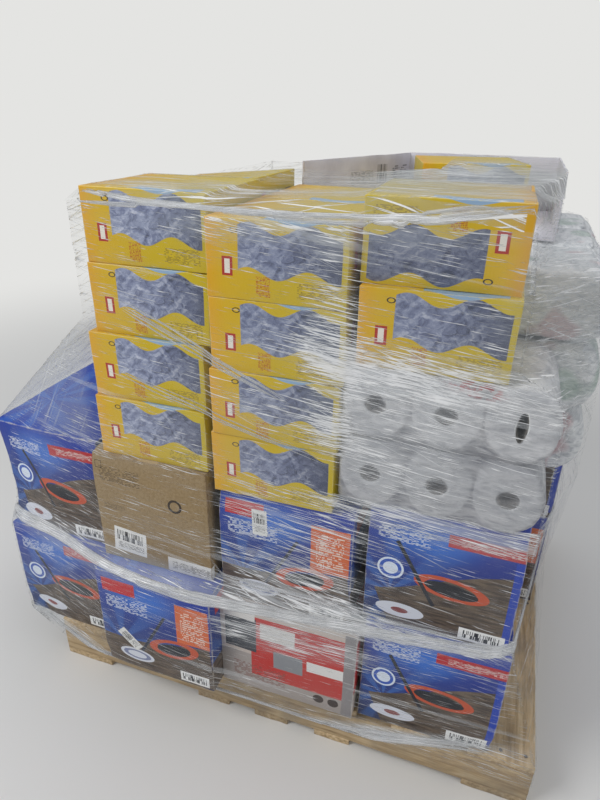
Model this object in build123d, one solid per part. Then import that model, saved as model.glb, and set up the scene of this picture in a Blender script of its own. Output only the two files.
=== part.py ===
from build123d import *
import math
import os

os.makedirs("parts", exist_ok=True)

# Stretch-wrapped pallet load. Millimetres, +Z up, the load's front faces -Y.
# Origin: middle of the pallet's underside, on the floor.

# Driving dimensions
PALLET_L = 1219.0
PALLET_W = 1016.0
STRINGER_W = 38.0
STRINGER_H = 89.0
BOARD_T = 19.0
LEAD_W = 140.0
NARROW_W = 89.0
BOTTOM_GAP = 266.0
DECK_Z = STRINGER_H + 2 * BOARD_T
GAP = 0.3
EDGE = 2.0

BLUE_W = 297.0
BLUE_D = 495.0
BLUE_H = 290.0
KRAFT_W = 284.0
KRAFT_D = 480.0
KRAFT_H = 286.0
RED_W = 325.0
RED_D = 480.0
RED_H = 253.0
YEL_W = 254.0
YEL_D = (BLUE_D - 1.0) / 2
YEL_H = 138.0

ROLL_RX = 61.2
ROLL_RZ = 71.5
ROLL_BORE = 20.0
ROLL_L = BLUE_D / 2 + 2.5
ROLL_GAP = 0.6
PACK_W = 446.0
PACK_D = BLUE_D / 2 + 1.5
PACK_H = 141.0
PACK_R = 55.0

TRAY_W = 414.0
TRAY_D = 452.0
TRAY_H = 144.0
TRAY_T = 4.0
PANEL_L = 485.0
PANEL_SWING = 21.4
FILM_T = 1.0
FILM_OFF = 0.6
FILM_SLACK = 2.0
FILM_LOW_Z = 60.0
FILM_BRIDGE = 61.5
FILM_KNEE = 307.0
FILM_TOP = 524.0
LID_IN = 150.0

# Places. SEAM_X is the seam between the blue carton and the red one in the lowest tier.
SEAM_X = -116.5
SIDE_GAP = 8.0
RIGHT_GAP = 10.0
KRAFT_GAP = 19.5
OUTER_GAP = 5.0
MIDDLE_GAP = 26.0
BACK_INSET = 5.0
ROW_GAP = 0.5
# How far each front carton stands forward of the hidden back row.
SLACK_LOW_OUTER = 13.0
SLACK_LOW_LEFT = 86.0
SLACK_RED = 55.0
SLACK_LOW_RIGHT = 22.0
SLACK_HIGH_OUTER = 3.0
SLACK_KRAFT = 47.0
SLACK_HIGH_MIDDLE = 17.0
SLACK_HIGH_RIGHT = 5.0
CRUSH_IN = 28.0
CRUSH_RUN = 150.0
YEL_LEFT_GAP = 20.0
YEL_ROW_GAP = 3.0
# The second row's top carton is squashed: its left side is this much lower.
YEL_SQUASH = 24.0
# Each yellow carton's own shift sideways, its slack forward and its turn in degrees.
LEFT = ((0.0, 20.5, 0.7), (2.0, 15.5, 0.6), (16.0, 7.5, 0.7), (17.0, 4.5, 0.9))
MID = ((-4.0, 8.0, 0.8), (1.0, 12.0, 0.9), (6.0, 10.0, 1.25), (5.0, 10.0, 1.0))
YEL_MID_GAP = 15.0
ROLL_SIDE = 64.5
ROLL_BACK_GAP = 3.0
PACK_INSET = 10.0
PACK_GAP = 1.5
PACK_SHIFT = 59.0
YEL_RIGHT_X = 40.5
YEL_RIGHT_SLACK = 7.0
YEL_RIGHT_STEP_X = 4.0
YEL_RIGHT_STEP_Y = 18.0
TRAY_OUT_X = 86.0
TRAY_INSET_Y = 46.0
TRAY_YEL_X = 93.0
TRAY_YEL_Y = 110.0

def block(w, d, h, edge=EDGE):
    """Closed carton with eased edges, front-left-bottom corner at the origin."""
    body = Pos(w / 2, d / 2, h / 2) * Box(w, d, h)
    return chamfer(body.edges(), edge)


def put(shape, x, y, z, yaw=0.0):
    """Turn about the front-left corner, then move that corner to x, y, z."""
    return Pos(x, y, z) * Rot(0, 0, yaw) * shape


def save(name, shapes):
    if not isinstance(shapes, (list, tuple)):
        shapes = [shapes]
    solids = []
    for s in shapes:
        solids.extend(s.solids())
    out = solids[0] if len(solids) == 1 else Compound(children=solids)
    export_step(out, "parts/" + name + ".step")


def board(x0, x1, y0, y1, z0, z1):
    return Pos((x0 + x1) / 2, (y0 + y1) / 2, (z0 + z1) / 2) * Box(x1 - x0, y1 - y0, z1 - z0)


# Pallet
HL = PALLET_L / 2
HW = PALLET_W / 2
Z1 = BOARD_T
Z2 = BOARD_T + STRINGER_H

for name, yc in (
    ("stringer_front", -HW + STRINGER_W / 2),
    ("stringer_middle", 0.0),
    ("stringer_back", HW - STRINGER_W / 2),
):
    save(name, board(-HL, HL, yc - STRINGER_W / 2, yc + STRINGER_W / 2, Z1, Z2))

deck = [board(-HL, -HL + LEAD_W, -HW, HW, Z2, DECK_Z)]
step = (PALLET_L - 2 * LEAD_W - 5 * NARROW_W) / 6
for i in range(5):
    x = -HL + LEAD_W + step + i * (NARROW_W + step)
    deck.append(board(x, x + NARROW_W, -HW, HW, Z2, DECK_Z))
deck.append(board(HL - LEAD_W, HL, -HW, HW, Z2, DECK_Z))
save("deck_boards", deck)

inner = HL - LEAD_W - BOTTOM_GAP
bottom = [
    board(-HL, -HL + LEAD_W, -HW, HW, 0, Z1),
    board(-inner, -inner + NARROW_W, -HW, HW, 0, Z1),
    board(-NARROW_W / 2, NARROW_W / 2, -HW, HW, 0, Z1),
    board(inner - NARROW_W, inner, -HW, HW, 0, Z1),
    board(HL - LEAD_W, HL, -HW, HW, 0, Z1),
]
save("bottom_boards", bottom)

# Tier 1
T1 = DECK_Z + GAP
blue = block(BLUE_W, BLUE_D, BLUE_H)
BACK_Y = HW - BACK_INSET - BLUE_D
LOW_LEFT_X = SEAM_X - ROW_GAP - BLUE_W
LOW_LEFT_Y = BACK_Y - BLUE_D - SLACK_LOW_LEFT
LOW_OUTER_X = LOW_LEFT_X - SIDE_GAP - BLUE_W
LOW_OUTER_Y = BACK_Y - BLUE_D - SLACK_LOW_OUTER
LOW_RIGHT_X = SEAM_X + RED_W + RIGHT_GAP
LOW_RIGHT_Y = BACK_Y - BLUE_D - SLACK_LOW_RIGHT
save("blue_carton_low_outer", put(blue, LOW_OUTER_X, LOW_OUTER_Y, T1, -0.8))
save("blue_carton_low_left", put(blue, LOW_LEFT_X, LOW_LEFT_Y, T1))
save("red_carton", put(block(RED_W, RED_D, RED_H), SEAM_X, BACK_Y - RED_D - SLACK_RED, T1))
save("blue_carton_low_right", put(blue, LOW_RIGHT_X, LOW_RIGHT_Y, T1, 0.1))
BACK_HALF = 2 * BLUE_W + 1.5 * ROW_GAP
BACK_X = [-BACK_HALF + i * (BLUE_W + ROW_GAP) for i in range(4)]
save("back_cartons_low", [put(blue, x, BACK_Y, T1) for x in BACK_X])

# Tier 2
T2 = T1 + BLUE_H + GAP
KRAFT_X = SEAM_X - KRAFT_GAP - KRAFT_W
KRAFT_Y = BACK_Y - KRAFT_D - SLACK_KRAFT
HIGH_OUTER_X = KRAFT_X - OUTER_GAP - BLUE_W
HIGH_OUTER_Y = BACK_Y - BLUE_D - SLACK_HIGH_OUTER
crush = [(0, CRUSH_IN), (CRUSH_RUN, 0), (BLUE_W, 0), (BLUE_W, BLUE_D), (0, BLUE_D)]
crushed = extrude(make_face(Polyline(*crush, close=True)), BLUE_H)
crushed = chamfer(crushed.edges(), EDGE)
save("blue_carton_high_outer", put(crushed, HIGH_OUTER_X, HIGH_OUTER_Y, T2, -0.2))
save("kraft_carton", put(block(KRAFT_W, KRAFT_D, KRAFT_H), KRAFT_X, KRAFT_Y, T2, 0.3))
T2M = T1 + RED_H + GAP
save("blue_carton_high_middle", put(blue, SEAM_X, BACK_Y - BLUE_D - SLACK_HIGH_MIDDLE, T2M))
HIGH_RIGHT_X = SEAM_X + BLUE_W + MIDDLE_GAP
save("blue_carton_high_right", put(blue, HIGH_RIGHT_X, BACK_Y - BLUE_D - SLACK_HIGH_RIGHT, T2, -0.7))
save("back_cartons_high", [put(blue, x, BACK_Y, T2) for x in BACK_X])

# Yellow cartons
yellow = block(YEL_W, YEL_D, YEL_H, 1.2)
PITCH = YEL_H + GAP
T3 = T2 + BLUE_H + GAP
T3K = T2 + KRAFT_H + GAP
T3M = T2M + BLUE_H + GAP
YEL_X = SEAM_X - YEL_LEFT_GAP - YEL_W
YEL_Y4 = HW - BACK_INSET - YEL_D
YEL_Y3 = YEL_Y4 - YEL_ROW_GAP - YEL_D
YEL_Y2 = YEL_Y3 - ROW_GAP - YEL_D
YEL_Y2M = YEL_Y3 - YEL_MID_GAP - ROW_GAP - YEL_D
for i in range(4):
    dx, dy, a = LEFT[i]
    save("yellow_left_" + str(i + 1), put(yellow, YEL_X + dx, YEL_Y2 - YEL_D - dy, T3K + i * PITCH, a))
    dx, dy, a = MID[i]
    save("yellow_middle_" + str(i + 1), put(yellow, SEAM_X + dx, YEL_Y2M - YEL_D - dy, T3M + i * PITCH, a))
squash_face = [(0, 0), (YEL_W, 0), (YEL_W, YEL_H), (0, YEL_H - YEL_SQUASH)]
squashed = extrude(Plane.XZ * make_face(Polyline(*squash_face, close=True)), -YEL_D)
squashed = chamfer(squashed.edges(), 1.2)
second = [put(yellow, YEL_X - ROW_GAP, YEL_Y2, T3K + i * PITCH) for i in range(3)]
second.append(put(squashed, YEL_X - ROW_GAP, YEL_Y2, T3K + 3 * PITCH))
save("yellow_left_second_row", second)
second = [put(yellow, SEAM_X - 5 * ROW_GAP, YEL_Y2M, T3M + i * PITCH) for i in range(4)]
save("yellow_middle_second_row", second)
BACK_PLACES = ((YEL_Y3, T3), (YEL_Y4, T3))
left = [put(yellow, YEL_X - 2 * ROW_GAP, y, z + i * PITCH) for y, z in BACK_PLACES for i in range(3)]
save("yellow_left_back_rows", left)
middle = [put(yellow, SEAM_X - 7 * ROW_GAP, y, z + i * PITCH) for y, z in BACK_PLACES for i in range(3)]
save("yellow_middle_back_rows", middle)

# Towel packs
ROLL_X0 = SEAM_X + YEL_W + ROLL_SIDE
PACK_Y = [HW - PACK_INSET - PACK_D - (2 - j) * (PACK_D + PACK_GAP) for j in range(3)]
PACK_X = ROLL_X0 - PACK_SHIFT
ROLL_Y = PACK_Y[0] - ROLL_BACK_GAP - ROLL_L
prof = Plane.XZ * Ellipse(ROLL_RX, ROLL_RZ)
hole = Plane.XZ * Circle(ROLL_BORE)
roll = extrude(prof, -ROLL_L) - extrude(hole, -ROLL_L)
rolls = []
for i in range(3):
    for k in range(2):
        zc = T3 + ROLL_RZ + k * (2 * ROLL_RZ + GAP)
        rolls.append(Pos(ROLL_X0 + i * (2 * ROLL_RX + ROLL_GAP), ROLL_Y, zc) * roll)
save("towel_rolls_front", rolls)

pack = Pos(PACK_W / 2, PACK_D / 2, PACK_H / 2) * Box(PACK_W, PACK_D, PACK_H)
pack = fillet(pack.edges().filter_by(Axis.Y), PACK_R)
for j, name in enumerate(("towel_packs_second_row", "towel_packs_third_row", "towel_packs_back_row")):
    save(name, [put(pack, PACK_X, PACK_Y[j], T3 + k * (PACK_H + GAP)) for k in range(3)])

# The two yellow cartons on the front towels
ZC = T3 + 4 * ROLL_RZ + 2 * GAP
RIGHT_X = ROLL_X0 - YEL_RIGHT_X
RIGHT_Y = PACK_Y[0] - YEL_RIGHT_SLACK - YEL_D
UPPER_X = RIGHT_X - YEL_RIGHT_STEP_X
UPPER_Y = RIGHT_Y + YEL_RIGHT_STEP_Y
save("yellow_right_lower", put(yellow, RIGHT_X, RIGHT_Y, ZC, 1.0))
save("yellow_right_upper", put(yellow, UPPER_X, UPPER_Y, ZC + PITCH, 1.55))

# Display tray on the towels at the back
TZ = T3 + 3 * (PACK_H + GAP)
TX0 = PACK_X - TRAY_OUT_X
TX1 = TX0 + TRAY_W
TY1 = HW - TRAY_INSET_Y
TY0 = TY1 - TRAY_D
RIM = TZ + TRAY_H
tray = board(TX0, TX1, TY0, TY1, TZ, TZ + TRAY_T)
tray += board(TX0, TX1, TY1 - TRAY_T, TY1, TZ, RIM)
tray += board(TX1 - TRAY_T, TX1, TY0, TY1, TZ, RIM)
panel_h = TRAY_H - TRAY_T / 2
panel = Pos(0, -PANEL_L / 2, panel_h / 2) * Box(TRAY_T, PANEL_L, panel_h)
panel = Pos(TX0 + TRAY_T / 2, TY1 - TRAY_T / 4, TZ + TRAY_T / 4) * Rot(0, 0, -PANEL_SWING) * panel
tray += panel
save("display_tray", tray)
save("yellow_in_tray", put(yellow, TX0 + TRAY_YEL_X, TY0 + TRAY_YEL_Y, TZ + TRAY_T + GAP, 14.0))

# Stretch film
# Each section has eight corners: four along the front, one on the right side, two at the
# back and one on the left side. They run anticlockwise seen from above.
PX = HL + FILM_OFF
PY = HW + FILM_OFF
BX = BACK_HALF + FILM_OFF
BY = HW - BACK_INSET + FILM_OFF
S = FILM_SLACK
BACK = ((BX, BY), (-BX, BY))
EX = max(PX, BX)
OUT_X = min(HIGH_OUTER_X, LOW_OUTER_X)
KRAFT_EDGE = ((KRAFT_X - 2 * S, KRAFT_Y - FILM_OFF), (KRAFT_X + KRAFT_W + S, KRAFT_Y - FILM_OFF))
ROLL_EDGE = (ROLL_X0 + 5 * ROLL_RX + 2 * ROLL_GAP + 2 * S, ROLL_Y - 1.5 * S)
TIER2_LEFT = (HIGH_OUTER_X - 1.5 * S, HIGH_OUTER_Y + CRUSH_IN - S / 2)
PACK_R_X = PACK_X + PACK_W + S
UP_FRONT = (
    (YEL_X - 3 * S, YEL_Y2 - YEL_D - LEFT[0][1] - 1.5 * S),
    (YEL_X + YEL_W / 2, YEL_Y2M - YEL_D - MID[1][1] - S),
    (SEAM_X + YEL_W, YEL_Y2M - YEL_D - MID[1][1] - 2 * S),
)
UP_LEFT = ((YEL_X - 5 * S, BY), (YEL_X - 4.5 * S, 0.0))
LOW_FRONT = ((LOW_LEFT_X - 1.5 * S, LOW_LEFT_Y - S), (SEAM_X, LOW_LEFT_Y - 1.2 * S))
ROLL_RIGHT = ROLL_X0 + 5 * ROLL_RX + 2 * ROLL_GAP
UPPER_EDGE = (RIGHT_X + YEL_W + 7 * S, ROLL_Y - 0.5 * S)


def between(f):
    """Corners of the bridging film a share f of the way from the second tier up to the knee."""
    low = (TIER2_LEFT, *KRAFT_EDGE, (BX - 0.1, PACK_Y[0] - 3 * S), *BACK, (HIGH_OUTER_X, BACK_Y))
    high = (*UP_FRONT, (PACK_R_X, PACK_Y[0] - 3 * S), (PACK_R_X + 0.4, BY), *UP_LEFT)
    return [tuple(a + (b - a) * f for a, b in zip(p, q)) for p, q in zip(low, high)]


SECTIONS = (
    (
        FILM_LOW_Z,
        (
            (-PX, -PY),
            (LOW_LEFT_X, -PY - 0.3),
            (-SEAM_X, -PY - 0.3),
            (PX, -PY),
            (PX + 0.3, 0.0),
            (PX, PY),
            (-PX, PY),
            (-PX - 0.3, 0.0),
        ),
    ),
    (
        T1 - S,
        (
            (LOW_OUTER_X - S, LOW_OUTER_Y - S),
            *LOW_FRONT,
            (EX, -PY - 1.0),
            (EX + 0.3, 0.0),
            (EX, PY),
            (-EX, PY),
            (LOW_OUTER_X + 2 * S, 0.0),
        ),
    ),
    (
        T1 + BLUE_H,
        (
            (OUT_X - S, LOW_OUTER_Y - S),
            *LOW_FRONT,
            (LOW_RIGHT_X + BLUE_W + S, LOW_RIGHT_Y - S),
            (BX, S),
            *BACK,
            (OUT_X - S / 2, BACK_Y),
        ),
    ),
    (
        T2 + FILM_BRIDGE,
        (TIER2_LEFT, *KRAFT_EDGE, ROLL_EDGE, (BX, S), *BACK, (HIGH_OUTER_X, BACK_Y)),
    ),
    (
        T3 + S / 2,
        (TIER2_LEFT, *KRAFT_EDGE, ROLL_EDGE, (BX - 0.1, PACK_Y[0] - 3 * S), *BACK, (HIGH_OUTER_X, BACK_Y)),
    ),
    *[
        (z, (*between(f)[:3], (x, ROLL_Y - 1.5 * S), between(f)[3], *between(f)[4:]))
        for z, x, f in (
            (T3 + FILM_KNEE - 65.0, ROLL_RIGHT + 2 * S, 1 - 65.0 / FILM_KNEE),
            (T3 + FILM_KNEE - 35.0, ROLL_RIGHT - 0.24 * ROLL_RX, 1 - 35.0 / FILM_KNEE),
            (T3 + FILM_KNEE - 15.0, ROLL_RIGHT - 0.76 * ROLL_RX, 1 - 15.0 / FILM_KNEE),
        )
    ],
    (
        T3 + FILM_KNEE,
        (*UP_FRONT, UPPER_EDGE, (PACK_R_X, PACK_Y[0] - 3 * S), (PACK_R_X + 0.4, BY), *UP_LEFT),
    ),
    (
        TZ - PACK_R,
        (*UP_FRONT, UPPER_EDGE, (PACK_R_X, PACK_Y[0] - 3 * S), (PACK_R_X + 0.4, BY), *UP_LEFT),
    ),
    (
        TZ - 0.3 * PACK_R,
        (
            *UP_FRONT,
            UPPER_EDGE,
            (PACK_R_X - 0.15 * PACK_R, PACK_Y[0] - 3 * S),
            (PACK_R_X - 0.15 * PACK_R, BY),
            *UP_LEFT,
        ),
    ),
    (
        TZ + S,
        (
            *UP_FRONT,
            UPPER_EDGE,
            (PACK_R_X - 0.88 * PACK_R, PACK_Y[0] - 3 * S),
            (PACK_R_X - 0.88 * PACK_R, BY),
            *UP_LEFT,
        ),
    ),
    (
        TZ + 4 * S,
        (*UP_FRONT, UPPER_EDGE, (TX1 + 3 * S, TY0 - 17 * S), (TX1 + 3 * S, BY), *UP_LEFT),
    ),
    (
        T3 + FILM_TOP,
        (
            *UP_FRONT,
            (UPPER_X + YEL_W + 3 * S, UPPER_Y - 2 * S),
            (TX1 + 3 * S, TY0 - 17 * S),
            (TX1 + 3 * S, BY),
            *UP_LEFT,
        ),
    ),
)


def grow(poly, t):
    """Move every side of a convex polygon out by t."""
    n = len(poly)
    out = []
    for i in range(n):
        a, b, c = poly[i - 1], poly[i], poly[(i + 1) % n]
        e1 = (b[0] - a[0], b[1] - a[1])
        e2 = (c[0] - b[0], c[1] - b[1])
        l1 = math.hypot(*e1)
        l2 = math.hypot(*e2)
        n1 = (e1[1] / l1, -e1[0] / l1)
        n2 = (e2[1] / l2, -e2[0] / l2)
        k = t / (1 + n1[0] * n2[0] + n1[1] * n2[1])
        out.append((b[0] + k * (n1[0] + n2[0]), b[1] + k * (n1[1] + n2[1])))
    return out


def tri(a, b, c):
    return Face(Wire.make_polygon([Vector(*a), Vector(*b), Vector(*c)]))


def above(a, b, c, p):
    """How far p stands outside the plane through a, b and c."""
    normal = (Vector(*b) - Vector(*a)).cross(Vector(*c) - Vector(*a))
    return normal.dot(Vector(*p) - Vector(*a))


def skin(sections):
    """Closed faceted body through the sections."""
    faces = []
    rings = [[(x, y, z) for x, y in poly] for z, poly in sections]
    n = len(rings[0])
    for lo, hi in zip(rings, rings[1:]):
        for i in range(n):
            j = (i + 1) % n
            if above(lo[i], lo[j], hi[j], hi[i]) > 0:
                faces.append(tri(lo[i], lo[j], hi[i]))
                faces.append(tri(lo[j], hi[j], hi[i]))
            else:
                faces.append(tri(lo[i], lo[j], hi[j]))
                faces.append(tri(lo[i], hi[j], hi[i]))
    faces.append(Face(Wire.make_polygon([Vector(*p) for p in rings[0]])))
    faces.append(Face(Wire.make_polygon([Vector(*p) for p in rings[-1]])))
    return Solid(Shell(faces))


outer = skin([(z, grow(poly, FILM_T)) for z, poly in SECTIONS])
inner_sections = [(z, [(float(x), float(y)) for x, y in poly]) for z, poly in SECTIONS]
low = inner_sections[0]
top = inner_sections[-1]
inner_sections[0] = (low[0] - 1.0, low[1])
inner_sections[-1] = (top[0] + 1.0, top[1])
film = outer - skin(inner_sections)
ENDS_Y = HW - STRINGER_W - S
for side in (-1, 1):
    x0, x1 = sorted((side * (HL - LEAD_W / 2), side * 2 * HL))
    film -= board(x0, x1, -ENDS_Y, ENDS_Y, 0, Z2 + S / 2)

# The last turns go over the top: a taut sheet from the rim of the wraps up to the highest
# corners of the load, across to the tray's right wall, open over the tray's left side.
LID_X = TX0 + LID_IN
LEFT_Z = T3K + 3 * PITCH + YEL_H + FILM_OFF
RIGHT_Z = ZC + PITCH + YEL_H + FILM_OFF
RIM_Z = RIM + FILM_OFF


def corner(x, y, yaw, dx, dy, z):
    """A top corner of a turned carton, dx and dy from its front-left corner."""
    a = math.radians(yaw)
    return (x + dx * math.cos(a) - dy * math.sin(a), y + dx * math.sin(a) + dy * math.cos(a), z)


def sheet(points, triangles, t):
    """Closed sheet over the points: each point's outer twin stands off along its mean normal."""
    faces_in, normals = [], [Vector(0, 0, 0) for _ in points]
    for i, j, k in triangles:
        a, b, c = (Vector(*points[n]) for n in (i, j, k))
        normal = (b - a).cross(c - a)
        if normal.Z < 0:
            j, k = k, j
            normal = normal * -1.0
        faces_in.append((i, j, k))
        for n in (i, j, k):
            normals[n] = normals[n] + normal.normalized()
    outer_points = [tuple(Vector(*p) + n.normalized() * t) for p, n in zip(points, normals)]
    faces = []
    edges = {}
    for i, j, k in faces_in:
        faces.append(tri(outer_points[i], outer_points[j], outer_points[k]))
        faces.append(tri(points[i], points[k], points[j]))
        for e in ((i, j), (j, k), (k, i)):
            edges[tuple(sorted(e))] = edges.get(tuple(sorted(e)), 0) + 1
    for (i, j), count in edges.items():
        if count == 1:
            faces.append(tri(points[i], points[j], outer_points[j]))
            faces.append(tri(points[i], outer_points[j], outer_points[i]))
    return Solid(Shell(faces))


rim = [(x, y, T3 + FILM_TOP + FILM_T / 2) for x, y in grow(SECTIONS[-1][1], FILM_T / 2)]
LX, LY = YEL_X + LEFT[3][0], YEL_Y2 - YEL_D - LEFT[3][1]
cover_points = rim + [
    corner(LX, LY, LEFT[3][2], 0, 0, LEFT_Z),
    corner(LX, LY, LEFT[3][2], YEL_W, 0, LEFT_Z),
    corner(LX, LY, LEFT[3][2], 0, YEL_D, LEFT_Z),
    corner(LX, LY, LEFT[3][2], YEL_W, YEL_D, LEFT_Z),
    (YEL_X - ROW_GAP + YEL_W, YEL_Y2 + YEL_D - S, LEFT_Z),
    (YEL_X - ROW_GAP, YEL_Y2 + YEL_D - S, LEFT_Z - YEL_SQUASH),
    corner(UPPER_X, UPPER_Y, 1.55, 0, 0, RIGHT_Z),
    corner(UPPER_X, UPPER_Y, 1.55, YEL_W, 0, RIGHT_Z),
    corner(UPPER_X, UPPER_Y, 1.55, 0, YEL_D, RIGHT_Z),
    corner(UPPER_X, UPPER_Y, 1.55, YEL_W, YEL_D, RIGHT_Z),
    (TX0, TY0 - 3.5 * S, LEFT_Z + 2 * S),
    (LID_X, TY0 - 3.5 * S, RIM_Z),
    (TX1, TY0, RIM_Z),
    (TX1, TY1, RIM_Z),
    (LID_X, TY1, RIM_Z),
]
cover_points[6:7] = []
# 0-6 are the rim; 7-10 the left column's top, 11-12 its second row, 13-16 the upper right
# carton's top, 17-19 the tray's front, 20-21 its back.
cover = sheet(
    cover_points,
    (
        (0, 1, 7), (1, 8, 7), (1, 2, 8), (2, 13, 8), (2, 3, 13), (3, 14, 13),
        (0, 7, 9), (0, 9, 12), (0, 12, 6),
        (7, 8, 10), (7, 10, 9), (9, 10, 11), (9, 11, 12),
        (8, 13, 10), (10, 13, 15), (10, 15, 11), (11, 15, 17),
        (13, 14, 16), (13, 16, 15), (15, 18, 17), (15, 16, 18), (16, 19, 18),
        (3, 4, 14), (14, 4, 16), (16, 4, 19), (4, 5, 19), (5, 20, 19),
        (18, 19, 20), (18, 20, 21),
    ),
    FILM_T,
)
save("stretch_film", [film, cover])
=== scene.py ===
import math
import random

import bpy
import numpy as np
from mathutils import Matrix, Vector, noise
from mathutils.bvhtree import BVHTree


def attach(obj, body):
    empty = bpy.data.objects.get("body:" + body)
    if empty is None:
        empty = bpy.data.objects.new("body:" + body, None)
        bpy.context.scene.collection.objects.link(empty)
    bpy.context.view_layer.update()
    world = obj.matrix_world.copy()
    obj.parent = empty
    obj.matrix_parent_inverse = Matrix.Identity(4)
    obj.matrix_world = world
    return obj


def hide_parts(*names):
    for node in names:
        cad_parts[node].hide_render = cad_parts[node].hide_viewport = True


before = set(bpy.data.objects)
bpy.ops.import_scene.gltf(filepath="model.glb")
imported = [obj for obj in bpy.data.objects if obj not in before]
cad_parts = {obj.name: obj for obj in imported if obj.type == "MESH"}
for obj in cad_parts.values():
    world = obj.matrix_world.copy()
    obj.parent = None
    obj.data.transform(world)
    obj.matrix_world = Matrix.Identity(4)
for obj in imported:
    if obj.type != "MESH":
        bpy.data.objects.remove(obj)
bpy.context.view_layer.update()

# Camera
# Above and to the right of the load's front, looking down at it, as the photograph does.


def linked(name, data):
    """A new object in the scene."""
    made = bpy.data.objects.new(name, data)
    bpy.context.collection.objects.link(made)
    return made


eye = linked("camera", bpy.data.cameras.new("camera"))
eye.data.lens = 27.04
eye.data.sensor_width = 36.0
turn, tilt, roll = math.radians(19.03), math.radians(26.04), math.radians(1.01)
level = Vector((-math.sin(turn), math.cos(turn), 0))
side = Vector((math.cos(turn), math.sin(turn), 0))
ahead = level * math.cos(tilt) - Vector((0, 0, math.sin(tilt)))
above = side.cross(ahead)
across = side * math.cos(roll) + above * math.sin(roll)
upward = above * math.cos(roll) - side * math.sin(roll)
facing = Matrix((across, upward, -ahead)).transposed().to_4x4()
eye.matrix_world = Matrix.Translation((0.3855, -1.441, 1.391)) @ facing
bpy.context.scene.camera = eye

# Pallet
# A four-foot stringer pallet of rough-sawn pine: three stringers, seven deck boards and five
# bottom boards, nailed. The wood is pale inside, grey where it is handled, split at its ends.
MM = 0.001
noise.seed_set(7)  # without a seed the clock sets noise_vector, and no two runs are the same


def linear(code):
    """A colour written as sRGB hex, in linear light."""
    parts = [int(code[i : i + 2], 16) / 255 for i in (1, 3, 5)]
    return [c / 12.92 if c <= 0.04045 else ((c + 0.055) / 1.055) ** 2.4 for c in parts] + [1.0]


def add(tree, kind, inputs=(), stops=(), **settings):
    """Adds a node of a kind such as "Bump" or "Math ADD": colour stops, settings and inputs.

    An input is a node, which stands for its first output in use, a socket, a colour or a value."""
    kind, _, operation = kind.partition(" ")
    made = tree.nodes.new(kind if "Node" in kind else "ShaderNode" + kind)
    if operation:
        made.operation = operation
    for name, value in settings.items():
        setattr(made, name, value)
    if stops:
        band = made.color_ramp
        while len(band.elements) < len(stops):
            band.elements.new(0.5)
        for element, (place, colour) in zip(band.elements, stops):
            element.position = place
            element.color = linear(colour) if isinstance(colour, str) else (colour, colour, colour, 1)
    for where, value in inputs.items() if isinstance(inputs, dict) else enumerate(inputs):
        if isinstance(value, bpy.types.Node):
            value = next(socket for socket in value.outputs if socket.enabled)
        if isinstance(value, bpy.types.NodeSocket):
            tree.links.new(value, made.inputs[where])
        else:
            made.inputs[where].default_value = linear(value) if isinstance(value, str) else value
    return made


def start(name):
    """A new material, its tree, and the place on the object, all the tree has so far."""
    made = bpy.data.materials.new(name)
    made.use_nodes = True
    made.node_tree.nodes.clear()
    return made, made.node_tree, add(made.node_tree, "TexCoord").outputs["Object"]


def finished(made, tree, colour, rough, height, lift, strength, **more):
    """Ends a material: relief lift mm high, the surface with more of its inputs, and the output."""
    bump = add(tree, "Bump", {"Height": height, "Distance": lift * MM, "Strength": strength})
    skin = add(tree, "BsdfPrincipled", {"Base Color": colour, "Roughness": rough, "Normal": bump, **more})
    add(tree, "OutputMaterial", [skin])
    return made


def pine(name, along):
    """Rough-sawn pine whose grain runs along one axis: growth lines 4 mm apart, saw marks, grime."""
    made, tree, place = start(name)
    stretch = [1.0 if i == along else 14.0 for i in range(3)]
    grain_space = add(tree, "Mapping", {0: place, 3: stretch})
    tint = add(tree, "Attribute", attribute_name="piece").outputs["Fac"]
    drift = add(tree, "VectorMath ADD", [grain_space, tint])
    grain = add(
        tree, "TexNoise",
        {"Vector": drift, "W": tint, "Scale": 9.0, "Detail": 8.0, "Roughness": 0.62, "Distortion": 0.35},
        noise_dimensions="4D",
    )
    fibre = add(
        tree, "TexNoise", {"Vector": drift, "W": tint, "Scale": 60.0, "Detail": 3.0}, noise_dimensions="4D"
    )
    soil = add(tree, "TexNoise", {"Vector": place, "Scale": 7.0, "Detail": 5.0, "Roughness": 0.6})
    stops = [(0.28, "#86704F"), (0.42, "#B59A74"), (0.55, "#D0B68E"), (0.72, "#E2CFAC")]
    wood = add(tree, "ValToRGB", [grain], stops)
    grey = add(tree, "MapRange", [soil, 0.42, 0.72, 0.0, 0.7])
    aged = add(tree, "Mix", {0: grey, 6: wood, 7: "#857D72"}, data_type="RGBA")
    own = add(tree, "MapRange", {0: tint, 3: 0.78, 4: 1.12})
    colour = add(tree, "VectorMath SCALE", {0: aged, "Scale": own})
    height = add(tree, "Math ADD", [grain, fibre])
    return finished(made, tree, colour, 0.82, height, 1.2, 0.7)


pine_along_x = pine("rough_sawn_pine_lengthwise", 0)
pine_along_y = pine("rough_sawn_pine_crosswise", 1)


def stations(length, edge, step):
    """Places along one side of a box: close at both eased edges, about one step apart between."""
    count = max(2, round(length / step))
    inner = [edge + (length - 2 * edge) * i / count for i in range(count + 1)]
    return [0.0, 0.35 * edge] + inner + [length - 0.35 * edge, length]


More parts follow.
